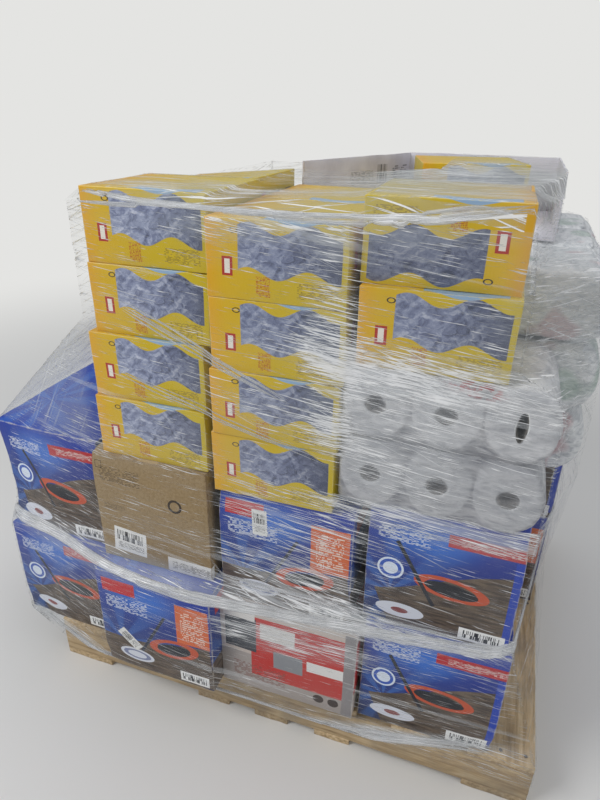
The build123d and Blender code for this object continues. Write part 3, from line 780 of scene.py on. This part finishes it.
def roll(x, y, z, rx, rz, bore_x, bore_z, length, seed):
    """A wound roll lying along Y: soft dents and edges, ringed ends, and the core's bore."""
    turns = 56
    edge = (rx - bore_x) * 0.12
    ends = (0.15, 0.45, 0.75, 0.88)
    rings = [("bore", 1.0), ("bore", 0.0)] + [("end0", f) for f in ends]
    rings += [("side", f) for f in (0.008, 0.04, 0.15, 0.3, 0.45, 0.6, 0.75, 0.88, 0.96, 0.992)]
    rings += [("end1", f) for f in ends[::-1]]
    points = []
    for kind, f in rings:
        for t in range(turns):
            a = 2 * math.pi * t / turns
            c, s = math.cos(a), math.sin(a)
            wob = noise.noise(Vector((c * 1.3, s * 1.3, f * 2.0 + seed * 5.1)))
            if kind == "bore":
                px, pz, py = bore_x * c, bore_z * s, f * length
            elif kind == "side":
                give = wob * 0.8 - 0.8 - edge * max(0.0, 1 - min(f, 1 - f) * length / 12) ** 2
                px, pz, py = (rx + give) * c, (rz + give) * s, f * length
            else:
                px = (bore_x + (rx - bore_x) * f) * c
                pz = (bore_z + (rz - bore_z) * f) * s
                cup = 3.0 * math.sin(math.pi * f) + wob * 2.0
                py = cup if kind == "end0" else length - cup
            points.append(Vector((x + px, y + py, z + pz)))
    count = len(rings)
    return points, *rings_joined(count, turns, lambda r, t: (t / turns, r / count), closed=True)


def see_through(made):
    """Thin clear film dims nothing that can be seen: it is left out of shadows and bounced light."""
    made.visible_shadow = False
    made.visible_diffuse = False


def soft_zone(tree, flat, centre, half, lean):
    """1 in the middle of an oval patch of the flat map, fading to 0 at its rim."""
    (x, y), (w, h) = centre, half
    lay = [(x * MM, y * MM, 0), (0, 0, math.radians(lean)), (w * MM, h * MM, 1)]
    local = add(tree, "Mapping", [flat, *lay], vector_type="TEXTURE")
    reach = add(tree, "VectorMath LENGTH", [local])
    return add(tree, "MapRange", [reach, 1.0, 0.45], interpolation_type="SMOOTHSTEP")


def clouded_bag(cores, slit):
    """Thin polyethylene bag tight over white paper: milky, clearer over the cores, one slit; painted shade
    darkens the lower tier, with a painted shadow under the upper one.
    """
    made, tree, place = start("clouded_polyethylene_bag")
    x, y, z = add(tree, "SeparateXYZ", [place]).outputs
    flat = add(tree, "CombineXYZ", [x, z])
    front = add(tree, "Math LESS_THAN", [y, -0.49])
    drawn = add(tree, "Mapping", {0: place, 3: (1.0, 1.0, 3.0)})
    wrinkle = add(tree, "TexNoise", {"Vector": drawn, "Scale": 26.0, "Detail": 6.0, "Distortion": 0.8})
    cover = add(tree, "MapRange", [wrinkle, 0.3, 0.7, 0.76, 0.9])
    for core in cores:
        hollow = add(tree, "Math MULTIPLY", [soft_zone(tree, flat, core, (27, 26), 0), front])
        cover = add(tree, "Math MULTIPLY_ADD", [hollow, -0.55, cover])
    torn = add(tree, "Math MULTIPLY", [soft_zone(tree, flat, *slit), front])
    cover = add(tree, "Math MULTIPLY", [cover, add(tree, "MapRange", [torn, 0.1, 0.4, 1.0, 0.0])])
    colour = add(tree, "ValToRGB", [wrinkle], [(0.32, "#98999F"), (0.6, "#D0D0D2")])
    # Painted shade: the lower tier darker, and a painted shadow along the seam under the upper tier.
    low = add(tree, "MapRange", [z, 0.89, 0.83, 0.0, 0.3])
    painted_tier_shadow = soft_zone(tree, flat, (330, 851), (240, 22), 0)
    dark = add(tree, "Math MULTIPLY_ADD", [painted_tier_shadow, 0.35, low])
    colour = add(tree, "Mix", {0: dark, 6: colour, 7: "#6E6F78"}, data_type="RGBA")
    print_zone = soft_zone(tree, flat, (366, 980), (60, 20), -8)
    specks = add(tree, "TexNoise", {"Vector": place, "Scale": 75.0, "Detail": 2.0})
    grains = add(tree, "MapRange", [specks, 0.46, 0.56, 0.0, 0.9])
    inked = add(tree, "Math MULTIPLY", [grains, print_zone])
    colour = add(tree, "Mix", {0: inked, 6: colour, 7: "#B0444A"}, data_type="RGBA")
    return finished(made, tree, colour, 0.38, wrinkle, 4.0, 0.5, Alpha=cover, IOR=1.5)


def tight_bag(x, y, z, w, d, h, centres, seed):
    """The bag of one tier: oval right end, sunk a little between the rolls and at their cores."""

    def drawn(at, raw):
        out = Vector(at)
        end = max(0.0, (raw.x - (w - ROLL_X)) / ROLL_X)
        out.z = h / 2 + (at.z - h / 2) * math.sqrt(1 - (0.985 * end) ** 2)
        if raw.y < 12:
            reach = min(math.hypot((x + at.x - cx) / ROLL_X, (z + out.z - cz) / ROLL_Z) for cx, cz in centres)
            out.y += min(5.0, max(0.0, reach - 0.92) * 18) + 4.0 * max(0.0, 1 - (reach / 0.33) ** 2)
        n = noise.noise_vector(Vector((at.x + seed * 50, at.y, at.z)) * 0.045)
        return out + Vector((0, n.y * 0.9, n.z * 0.7))

    return placed(box_shell((w, d, h), 12.0, 8.0, drawn), x, y, z)


ROLLS = [(x, z) for x in (202.0, 325.0, 448.0) for z in (LOW_Z, HIGH_Z)]
CRUSHED = (448.0, HIGH_Z)
shells, cores = [], []
for number, (x, z) in enumerate(ROLLS):
    bore_x, bore_z = (9.5, 30.0) if (x, z) == CRUSHED else (20.0, 19.0)
    shells.append(roll(x, -504.5, z, ROLL_X, ROLL_Z, bore_x, bore_z, 248.0, number))
    cores.append(
        roll(x, -502.5, z, bore_x + 0.6, bore_z + 0.6, bore_x - 2.0, bore_z - 2.0, 244.0, number + 9)
    )
piece("paper_rolls_front", shells, towel_paper(), ["towel_rolls_front"])
piece("roll_cores", cores, grey_board(), [])
bag_film = clouded_bag([centre for centre in ROLLS if centre != CRUSHED], ((448, 925), (12, 36), -4))
tier_bags = []
for z in (LOW_Z, HIGH_Z):
    own = [centre for centre in ROLLS if centre[1] == z]
    tier_bags.append(tight_bag(140.6, -506.4, z - 71.6, 369.0, 249.0, 143.0, own, z))
bags = piece("roll_tier_bags", tier_bags, bag_film, [])
see_through(bags)


def bagged_pack(x, y, z, w, d, h, seed):
    """A pack of rolls in a thin bag: soft ends, a swell over each roll, gathered corners."""

    def soft(at, raw):
        u, v, t = raw.x / w - 0.5, raw.y / d - 0.5, raw.z / h - 0.5
        k = 1 - 0.06 * (abs(2 * v) ** 6)
        out = Vector((at.x, at.y, at.z))
        round_off = 1 - math.sqrt(max(0.0, 1 - (2 * t * 0.97) ** 2)) if abs(t) > 0.1 else 0
        out.x -= math.copysign(round_off * 48 * (abs(2 * u) ** 8), u)
        swell = (1 - abs(math.cos(math.pi * 3.5 * (u + 0.5)))) * 5.0 * (abs(2 * t) ** 3)
        out.z -= math.copysign(swell, t) * 0.8
        n = noise.noise_vector(Vector((at.x + seed * 91, at.y, at.z)) * 0.02)
        out += Vector((n.x * 3.0, n.y * 2.0, n.z * 2.0))
        mid = Vector((w / 2, d / 2, h / 2))
        return mid + Vector(((out.x - mid.x) * k, out.y - mid.y, (out.z - mid.z) * k))

    return placed(box_shell((w, d, h), 14.0, 13.0, soft), x, y, z)


def thin_bag():
    """Thin polyethylene bag over paper: faint green and red print, fine pleats, low gloss."""
    made, tree, place = start("printed_polyethylene_bag")
    drawn = add(tree, "Mapping", {0: place, 3: (1.0, 0.35, 2.5)})
    pleat = add(tree, "TexNoise", {"Vector": drawn, "Scale": 40.0, "Detail": 6.0, "Distortion": 1.5})
    patch = add(tree, "TexNoise", {"Vector": place, "Scale": 9.0, "Detail": 1.0})
    colour = add(tree, "ValToRGB", [pleat], [(0.3, "#B4B8BC"), (0.5, "#D9DBDC"), (0.7, "#F1F2F2")])
    for first, full, amount, ink in ((0.6, 0.66, 0.4, "#7FA68A"), (0.37, 0.32, 0.45, "#B9656A")):
        share = add(tree, "MapRange", [patch, first, full, 0.0, amount])
        colour = add(tree, "Mix", {0: share, 6: colour, 7: ink}, data_type="RGBA")
    return finished(made, tree, colour, 0.3, pleat, 4.0, 0.6, IOR=1.51)


bag = thin_bag()
PACK_PITCH = 141.3
for name, y in (("second", -252.0), ("third", -1.5), ("back", 249.0)):
    packs = [bagged_pack(143, y, T3 + PACK_PITCH * i, 446, 249, 141, i + y) for i in range(3)]
    piece("bagged_packs_%s_row" % name, packs, bag, ["towel_packs_%s_row" % name])

# Display tray
# An open tray of white-lined board, its left side free at the corner and swung out. The
# side's inner face carries small grey print and a block of bars.


def white_liner(tree, panel, place):
    """White clay-coated liner, a little soiled."""
    soil = add(tree, "TexNoise", {"Vector": place, "Scale": 12.0, "Detail": 5.0})
    return add(tree, "ValToRGB", [soil], [(0.3, "#C6C3CE"), (0.6, "#E0DEE6")])


def thin_wall(size, back, seed):
    """A wall of thin board, its place measured from one corner, bent a little along its run."""

    def bent(at, raw):
        n = noise.noise_vector(Vector((raw.x, raw.y, raw.z)) * 0.012 + Vector((seed, 0, 0)))
        return at - Vector(back) + Vector((n.x * 1.5, n.y * 1.5, n.z * 1.2 if raw.z > size[2] / 2 else 0))

    return box_shell(size, 1.2, 16.0, bent)


TRAY_Z = T3 + 3 * PACK_PITCH
tray_liner = printed_board("clay_coated_white_liner", white_liner, [], "#B9A888", 0.5)
walls = [
    placed(thin_wall((414, 452, 4), (0, 0, 0), 1), 57, 10, TRAY_Z),
    placed(thin_wall((414, 4, 144), (0, 0, 0), 2), 57, 458, TRAY_Z),
    placed(thin_wall((4, 452, 144), (0, 0, 0), 3), 467, 10, TRAY_Z),
]
piece("display_tray_base_and_walls", walls, tray_liner, ["display_tray"])
side_liner = printed_board(
    "clay_coated_white_liner_printed_side",
    white_liner,
    [
        ("#4A4A50", "bars", (1.7, 0.66), (0.05, 0.17)),
        ("#6E6E76", "rows", (1.5, 0.62), (0.11, 0.12), 0, None, 2.0),
        ("#5C5C64", "rows", (1.88, 0.52), (0.08, 0.28), 0, None, 3.0),
        ("#7A7A82", "ring", (1.1, 0.3), (0.02, 0.06)),
    ],
    "#B9A888",
    0.5,
)
swung = placed(thin_wall((4, 485, 142), (2, 485, 0), 4), 59, 461, TRAY_Z + 1, -21.4)
piece("display_tray_swung_side", [swung], side_liner, [])

# Stretch film
# Clear linear-low-density polyethylene, 20 micrometres thick, wound many times round the load
# under tension. It bridges every hollow, clouds where its layers pile up, and shines in creases.


def stretch_film(name, seed, milk_low, milk_high, zones, crease_glints, fan_highlights=False, body="#C3C9CD"):
    """Stretched film: nearly clear, milky where layers pile up, with thin sloping creases painted as bright
    highlights.

    zones are (face, centre, half size, lean, milk, more crease glints), in mm on that face of the load;
    crease_glints are (slope, length mm, width mm, rarity, strength) of the painted highlights along the
    creases, which also raise a slight bump; fan_highlights paints highlight rays over the film's left side."""
    made, tree, place = start(name)
    wrap = add(tree, "UVMap", uv_map="panel")
    x, y, z = add(tree, "SeparateXYZ", [place]).outputs
    far = add(tree, "Math ABSOLUTE", [y])
    # The bands go right round, so the back takes the front's zones.
    faces = {
        "front": ([x, z], add(tree, "MapRange", [far, 0.2, 0.42])),
        "right": ([y, z], add(tree, "MapRange", [x, 0.36, 0.42])),
        "top": ([x, y], add(tree, "MapRange", [z, 1.1, 1.2])),
    }
    milk, more = 0.0, 0.0
    for face, centre, half, lean, haze, extra in zones:
        ways, facing = faces[face]
        flat = add(tree, "CombineXYZ", ways)
        there = add(tree, "Math MULTIPLY", [soft_zone(tree, flat, centre, half, lean), facing])
        milk = add(tree, "Math MULTIPLY_ADD", [there, haze, milk])
        more = add(tree, "Math MULTIPLY_ADD", [there, extra, more])
    lay = [(seed, 0, 0), (0, 0, math.radians(-5)), (0.34, 0.12, 1)]
    local = add(tree, "Mapping", [wrap, *lay], vector_type="TEXTURE")
    cloud = add(tree, "TexNoise", {"Vector": local, "Scale": 1.0, "Detail": 5.0, "Roughness": 0.6})
    gate = add(tree, "MapRange", [cloud, 0.34, 0.64, -0.035, 0.03])
    level = add(tree, "Math ADD", [more, gate])
    shine = None
    # Painted highlights: thin streaks along the creases, whitened and made more opaque in place of the lamps'
    # reflections; they also drive a slight bump.
    for number, (slope, long, thin, rare, power) in enumerate(crease_glints):
        origin = (seed + number * 3.7, number * 1.3, 0)
        lay = [origin, (0, 0, math.radians(slope)), (long * MM, thin * MM, 1)]
        local = add(tree, "Mapping", [wrap, *lay], vector_type="TEXTURE")
        line = add(tree, "TexNoise", {"Vector": local, "Scale": 1.0, "Detail": 2.0, "Roughness": 0.55})
        lifted = add(tree, "Math ADD", [line, level])
        bright = add(tree, "MapRange", [lifted, rare, rare + 0.06, 0.0, power])
        shine = bright if shine is None else add(tree, "Math MAXIMUM", [shine, bright])
    # Painted highlight: bright rays fanning over the left of the film, with a little more milk.
    if fan_highlights:
        local = add(tree, "Mapping", {0: wrap, 3: (0.009, 0.4, 1)}, vector_type="TEXTURE")
        rays = add(tree, "TexNoise", {"Vector": local, "Scale": 1.0, "Detail": 3.0})
        lit = add(tree, "MapRange", [rays, 0.52, 0.74, 0.04, 0.6])
        left = add(tree, "MapRange", [x, -0.4, -0.43])
        tall = add(tree, "MapRange", [z, 0.69, 0.76])
        here = add(tree, "Math MULTIPLY", [left, tall])
        shine = add(tree, "Math MAXIMUM", [shine, add(tree, "Math MULTIPLY", [here, lit])])
        milk = add(tree, "Math MULTIPLY_ADD", [here, 0.16, milk])
    layers = add(tree, "MapRange", [cloud, 0.38, 0.72, milk_low, milk_high])
    haze = add(tree, "Math ADD", [layers, milk])
    alpha = add(tree, "Math MINIMUM", [add(tree, "Math ADD", [shine, haze]), 0.92])
    # Painted highlight: where shine is, the film's colour goes to white.
    colour = add(tree, "Mix", {0: shine, 6: body, 7: "#FFFFFF"}, data_type="RGBA", clamp_factor=True)
    return finished(made, tree, colour, 0.2, shine, 3.0, 0.7, Alpha=alpha, IOR=1.5)


CREASE_GLINTS = (
    (-4.5, 75, 2.4, 0.625, 0.95),
    (-7, 150, 3.6, 0.65, 0.8),
    (-1, 260, 3.0, 0.665, 0.65),
    (-19, 260, 4.0, 0.69, 0.6),
    (-6, 650, 24, 0.64, 0.25),
)
film_low = stretch_film(
    "stretch_film_low_wraps",
    0.0,
    0.0,
    0.09,
    [
        ("front", (170, 425), (480, 46), -0.5, 0.3, 0.09),
        ("front", (-420, 432), (420, 44), -1.0, 0.26, 0.0),
        ("front", (190, 100), (470, 34), 9.0, 0.45, 0.08),
        ("front", (-560, 120), (240, 40), -3.0, 0.35, 0.05),
        ("front", (-560, 300), (240, 150), 0.0, 0.04, 0.0),
        ("front", (60, 340), (260, 60), -3.0, 0.12, 0.08),
        ("front", (330, 700), (300, 60), -3.0, 0.2, 0.09),
        ("front", (40, 640), (200, 110), -6.0, 0.04, 0.06),
        ("front", (60, 500), (240, 70), -4.0, 0.04, 0.06),
    ],
    CREASE_GLINTS,
)
film_high = stretch_film(
    "stretch_film_high_wraps",
    5.0,
    0.0,
    0.09,
    [
        ("front", (230, 880), (170, 180), -4.0, 0.16, 0.07),
        ("front", (250, 990), (330, 60), -6.0, 0.12, 0.09),
        ("front", (120, 1010), (70, 260), 0.0, 0.1, 0.07),
        ("front", (60, 1215), (460, 36), 2.0, 0.18, 0.05),
        ("right", (-250, 1130), (330, 190), 0.0, 0.4, 0.04),
        ("front", (40, 860), (260, 60), -12.0, 0.05, 0.05),
    ],
    CREASE_GLINTS,
    fan_highlights=True,
)
film_over = stretch_film(
    "stretch_film_over_top",
    8.0,
    0.05,
    0.3,
    [("top", (300, -130), (330, 420), 0.0, 0.5, 0.04), ("top", (-60, -430), (420, 110), 0.0, 0.2, 0.04)],
    ((5, 200, 4, 0.6, 0.8), (-5, 160, 3.5, 0.61, 0.9), (14, 260, 7, 0.63, 0.6)),
    body="#A6ACAA",
)
film_rope = stretch_film(
    "stretch_film_bunched", 9.0, 0.24, 0.52, [],
    ((0, 120, 1.6, 0.53, 0.9), (2, 240, 2.6, 0.55, 0.9)),
    body="#E2E5E8",
)

# The wraps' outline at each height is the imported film's own; where the load falls away behind
# it, the film is drawn in a little, as its tension and the cling of its layers do.
cad_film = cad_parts["stretch_film"]
film_points = np.array([v.co[:] for v in cad_film.data.vertices])
film_edges = [tuple(e.vertices) for e in cad_film.data.edges]
load = gathered(made_pieces)
# In metres: one turn's length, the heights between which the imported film's sides can be cut, the
# most it is drawn in, the top of its upright part, and the fork openings' top and half width,
# which it leaves free.
TURN = 4.6
CUT_LOW, CUT_HIGH = 0.0601, 1.2318
CLING = 0.010
EAVES = 1.2315
FORK_TOP, FORK_HALF = 0.109, 0.468


def turns_left(a, b, c):
    """Whether the way from a over b to c turns left."""
    return (b[0] - a[0]) * (c[1] - a[1]) - (b[1] - a[1]) * (c[0] - a[0]) > 0


def outline(z):
    """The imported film's outer outline at one height, as a closed convex line."""

    def half(points):
        line = []
        for p in points:
            while len(line) > 1 and not turns_left(line[-2], line[-1], p):
                line.pop()
            line.append(p)
        return line[:-1]

    cut = []
    for a, b in film_edges:
        za, zb = film_points[a][2], film_points[b][2]
        if (za - z) * (zb - z) <= 0 and abs(za - zb) > 1e-9:
            f = (z - za) / (zb - za)
            cut.append(tuple(film_points[a][:2] + f * (film_points[b][:2] - film_points[a][:2])))
    cut = sorted(set(cut))
    return half(cut) + half(cut[::-1])


def wraps(name, material, z0, z1, rows, columns=560):
    """One band of film from z0 to z1, drawn in towards the load."""
    grid = np.zeros((rows, columns, 3))
    outward = np.zeros((rows, columns, 2))
    gap = np.zeros((rows, columns))
    for r in range(rows):
        z = z0 + (z1 - z0) * r / (rows - 1)
        corners = [Vector(p) for p in outline(min(max(z, CUT_LOW), CUT_HIGH))]
        first = max(range(len(corners)), key=lambda i: corners[i].y * 2 - corners[i].x)
        order = corners[first:] + corners[: first + 1]
        runs = [0.0]
        for i in range(len(order) - 1):
            runs.append(runs[-1] + (order[i + 1] - order[i]).length)
        places = [runs[-1] * c / columns for c in range(columns)]
        for corner_run in runs[1:-1]:
            places[round(corner_run / runs[-1] * columns) % columns] = corner_run
        i = 0
        for c, s in enumerate(places):
            while runs[i + 1] < s:
                i += 1
            f = (s - runs[i]) / max(1e-9, runs[i + 1] - runs[i])
            at = order[i].lerp(order[i + 1], f)
            run = (order[i + 1] - order[i]).normalized()
            out = Vector((run.y, -run.x))
            grid[r, c] = (at.x, at.y, z)
            outward[r, c] = out
            outside = Vector((at.x + out.x * 0.002, at.y + out.y * 0.002, z))
            hit = load.ray_cast(outside, Vector((-out.x, -out.y, 0)), 0.3)
            gap[r, c] = max(0.0, (hit[3] if hit[0] else 0.3) - 0.004)
    drawn = np.minimum(gap, CLING)
    for _ in range(10):
        drawn = (np.roll(drawn, 1, 1) + np.roll(drawn, -1, 1) + 2 * drawn) / 4
        inner = drawn.copy()
        inner[1:-1] = (drawn[:-2] + drawn[2:] + 2 * drawn[1:-1]) / 4
        drawn = inner
    drawn = np.minimum(drawn, gap)
    for r in range(rows):
        for c in range(columns):
            z = grid[r, c, 2]
            run = c / columns * TURN
            a = noise.noise(Vector((run * 9.0 + z * 1.5, z * 48.0 + run * 5.0, 1.7)))
            b = noise.noise(Vector((run * 3.0, z * 22.0 + run * 4.0, 8.2)))
            lift = 0.0006 * a + 0.0010 * b + 0.001
            grid[r, c, 0] += outward[r, c, 0] * (lift - drawn[r, c])
            grid[r, c, 1] += outward[r, c, 1] * (lift - drawn[r, c])
    points = [tuple(p / MM) for p in grid.reshape(-1, 3)]
    faces, charts = [], []
    for r in range(rows - 1):
        for c in range(columns):
            n = (c + 1) % columns
            if grid[r, c, 2] < FORK_TOP and abs(grid[r, c, 1]) < FORK_HALF:
                continue
            faces.append([r * columns + c, r * columns + n, (r + 1) * columns + n, (r + 1) * columns + c])
            u0, u1 = [k / columns * TURN for k in (c, c + 1)]
            v0, v1 = [z0 + (z1 - z0) * k / (rows - 1) for k in (r, r + 1)]
            charts.append([(u0, v0), (u1, v0), (u1, v1), (u0, v1)])
    nodes = ["stretch_film"] if name == "film_low_wraps" else []
    return piece(name, [(points, faces, charts)], material, nodes)


low = wraps("film_low_wraps", film_low, 0.061, 0.722, 96)
high = wraps("film_high_wraps", film_high, 0.700, EAVES, 80)


def over_top(name, material, step=0.009):
    """The last turns, pulled over the top: taut between the highest corners, sagging a little."""
    packed = gathered([cad_film])
    xs = np.arange(-0.412, 0.482, step)
    ys = np.arange(-0.522, 0.506, step)
    grid = np.zeros((len(xs), len(ys)))
    held = np.zeros((len(xs), len(ys)))
    there = np.zeros((len(xs), len(ys)), bool)
    for i, x in enumerate(xs):
        for j, y in enumerate(ys):
            hit = packed.ray_cast(Vector((x, y, 1.5)), Vector((0, 0, -1)), 0.5)
            under = load.ray_cast(Vector((x, y, 1.5)), Vector((0, 0, -1)), 0.5)
            there[i, j] = hit[0] is not None and hit[0].z > EAVES
            grid[i, j] = hit[0].z if hit[0] else 1.2
            held[i, j] = (under[0].z if under[0] else 1.0) + 0.0016
    sag = np.where(there, np.minimum(grid - held, 0.009), 0.0)
    for _ in range(14):
        soft = sag.copy()
        beside = sag[:-2, 1:-1] + sag[2:, 1:-1] + sag[1:-1, :-2] + sag[1:-1, 2:]
        soft[1:-1, 1:-1] = (beside + 4 * sag[1:-1, 1:-1]) / 8
        sag = np.where(there, soft, 0.0)
    sheet = np.maximum(grid - np.maximum(sag, 0.0), held)
    points, faces, charts, index = [], [], [], {}
    for i in range(len(xs) - 1):
        for j in range(len(ys) - 1):
            square = ((i, j), (i + 1, j), (i + 1, j + 1), (i, j + 1))
            if not all(there[a, b] for a, b in square):
                continue
            face = []
            for a, b in square:
                if (a, b) not in index:
                    index[a, b] = len(points)
                    spot = Vector((xs[a] * 10 + ys[b] * 24, ys[b] * 44 - xs[a] * 10, 3.0))
                    crease = 0.0010 * noise.noise(spot)
                    points.append((xs[a] / MM, ys[b] / MM, (sheet[a, b] + crease) / MM))
                face.append(index[a, b])
            faces.append(face)
            charts.append([(xs[a], ys[b]) for a, b in square])
    return piece(name, [(points, faces, charts)], material, [])


cover = over_top("film_over_top", film_over)
for clear in (low, high, cover):
    see_through(clear)
wound = gathered([low, high, cover])


def strand(route, width, thick, seed):
    """Film pulled together: a flat, lobed, twisted strand laid on the wraps along a route."""
    points = [Vector(p) * MM for p in route]
    curve = bpy.data.curves.new("route", "CURVE")
    curve.dimensions = "3D"
    spline = curve.splines.new("NURBS")
    spline.points.add(len(points) - 1)
    for knot, p in zip(spline.points, points):
        knot.co = (p.x, p.y, p.z, 1)
    spline.order_u = 3
    spline.use_endpoint_u = True
    spline.resolution_u = 14
    line_object = bpy.data.objects.new("route", curve)
    line = [v.co.copy() for v in bpy.data.meshes.new_from_object(line_object).vertices]
    bpy.data.objects.remove(line_object)
    sides, verts, run, last = 14, [], 0.0, len(line) - 1
    for i, p in enumerate(line):
        near = wound.find_nearest(p)
        out = (p - near[0]).normalized() if (p - near[0]).length > 0.004 else near[1]
        if out.dot(Vector((p.x, p.y + 0.05, 0.02))) < 0 and abs(near[1].z) < 0.6:
            out = -out
        onward = (line[min(i + 1, last)] - line[max(i - 1, 0)]).normalized()
        out = (out - onward * out.dot(onward)).normalized()
        flat = onward.cross(out)
        centre = near[0] + out * thick * 0.35 * MM
        if i:
            run += (line[i] - line[i - 1]).length
        f = i / last
        taper = min(1.0, f * 8 + 0.05, (1 - f) * 8 + 0.05)
        swell = 1 + 0.35 * noise.noise(Vector((run * 9.0, seed, 0)))
        for k in range(sides):
            a = 2 * math.pi * k / sides
            rough = 0.14 * noise.noise(Vector((run * 30, a, seed)))
            lobe = 1 + 0.12 * math.sin(4 * a + run * 16 + seed) + rough
            wide = flat * math.cos(a) * width / 2 * taper * swell * lobe * MM
            deep = out * math.sin(a) * thick / 2 * taper * lobe * MM
            verts.append(tuple((centre + wide + deep) / MM))
    faces, charts = rings_joined(len(line), sides, lambda i, k: (run * i / last, k * 0.004))
    faces += [list(range(sides)), [last * sides + k for k in range(sides)][::-1]]
    return verts, faces, charts + [[(0, 0)] * sides] * 2


# Each rope: how wide and thick one strand is, how many strands, how far they spread, its route.
ropes = (
    (
        9, 5, 3, 7.0,
        [
            (-398, -470, 1238), (-300, -512, 1243), (-118, -516, 1240), (-10, -518, 1236), (124, -516, 1237),
            (248, -508, 1246), (333, -500, 1258), (409, -490, 1268),
        ],
    ),
    (3.4, 2.4, 4, 6.0, [(-300, -516, 1046), (-208, -516, 1008), (-106, -520, 962), (44, -522, 905)]),
    (
        2.6, 2, 3, 7.0,
        [(-330, -520, 910), (-254, -520, 886), (-144, -520, 856), (-27, -520, 824), (120, -520, 792)],
    ),
    (
        13, 4, 3, 9.0,
        [
            (-270, 508, 455), (-560, 506, 456), (-606, 380, 454), (-640, 0, 450), (-712, -440, 448),
            (-716, -500, 446), (-554, -512, 436), (-437, -560, 436), (-273, -575, 424), (-131, -575, 414),
            (51, -548, 414), (198, -530, 418), (355, -518, 421), (509, -506, 426), (530, -300, 432),
            (598, 0, 438), (602, 430, 446), (590, 510, 447), (420, 512, 448), (-310, 508, 455),
        ],
    ),
    (
        16, 5, 3, 11.0,
        [
            (-700, -512, 139), (-560, -545, 118), (-414, -576, 70), (-250, -576, 52), (-137, -572, 54),
            (38, -548, 72), (211, -530, 92), (369, -520, 124), (514, -510, 157),
        ],
    ),
    (4, 2.4, 3, 7.0, [(-120, -575, 500), (60, -545, 470), (260, -520, 452), (420, -512, 446)]),
)
for number, (width, thick, count, spread, route) in enumerate(ropes):
    strands = []
    for k in range(count):
        shifted = []
        for i, (x, y, z) in enumerate(route):
            aside = spread * (k - (count - 1) / 2) * (1 + 0.6 * math.sin(1.7 * i + 2.1 * k))
            shifted.append((x, y, z + aside))
        strands.append(strand(shifted, width * (1 + 0.3 * math.sin(k * 2.6)), thick, number * 3.1 + k))
    see_through(piece("film_rope_%d" % (number + 1), strands, film_rope, []))

# Setting
# A plain pale floor and even studio light; the camera sees a pale ground all round.
floor_mesh = bpy.data.meshes.new("floor")
floor_mesh.from_pydata([(-30, -30, 0), (30, -30, 0), (30, 30, 0), (-30, 30, 0)], [], [(0, 1, 2, 3)])
floor = linked("floor", floor_mesh)
paper, tree, place = start("pale_studio_floor")
spot = add(tree, "VectorMath LENGTH", [place])
far = add(tree, "MapRange", [spot, 1.3, 4.5], interpolation_type="SMOOTHSTEP")
camera_ray = add(tree, "LightPath").outputs["Is Camera Ray"]
faded = add(tree, "Math MULTIPLY", [far, camera_ray])
skin = add(tree, "BsdfPrincipled", {"Base Color": "#E6E5E2", "Roughness": 0.9})
glow = add(tree, "Emission", ["#E4E4E2", 1.0])
add(tree, "OutputMaterial", [add(tree, "MixShader", [faded, skin, glow])])
floor_mesh.materials.append(paper)
world = bpy.data.worlds.new("studio")
bpy.context.scene.world = world
world.use_nodes = True
sky = world.node_tree
sky.nodes.clear()
path = add(sky, "LightPath")
seen = add(sky, "Math MAXIMUM", [path.outputs["Is Camera Ray"], path.outputs["Is Transmission Ray"]])
fill = add(sky, "Background", ["#E6EAF0", 0.42])
plain = add(sky, "Background", ["#E4E4E2", 1.0])
add(sky, "OutputWorld", [add(sky, "MixShader", [seen, fill, plain])])
for name, at, aim, size, power in (
    ("key", (-2.1, -2.4, 3.1), (-0.1, -0.2, 0.7), 1.6, 66.0),
    ("top", (0.4, 0.4, 3.6), (0, 0, 0.8), 2.0, 27.0),
    ("right", (3.2, -1.4, 1.9), (0, 0, 0.7), 1.6, 13.0),
):
    lamp = bpy.data.lights.new(name, "AREA")
    lamp.energy = power
    lamp.size = size
    made = linked(name, lamp)
    made.location = at
    made.rotation_mode = "QUATERNION"
    made.rotation_quaternion = (Vector(aim) - Vector(at)).to_track_quat("-Z", "Y")
bpy.context.scene.view_settings.view_transform = "Standard"
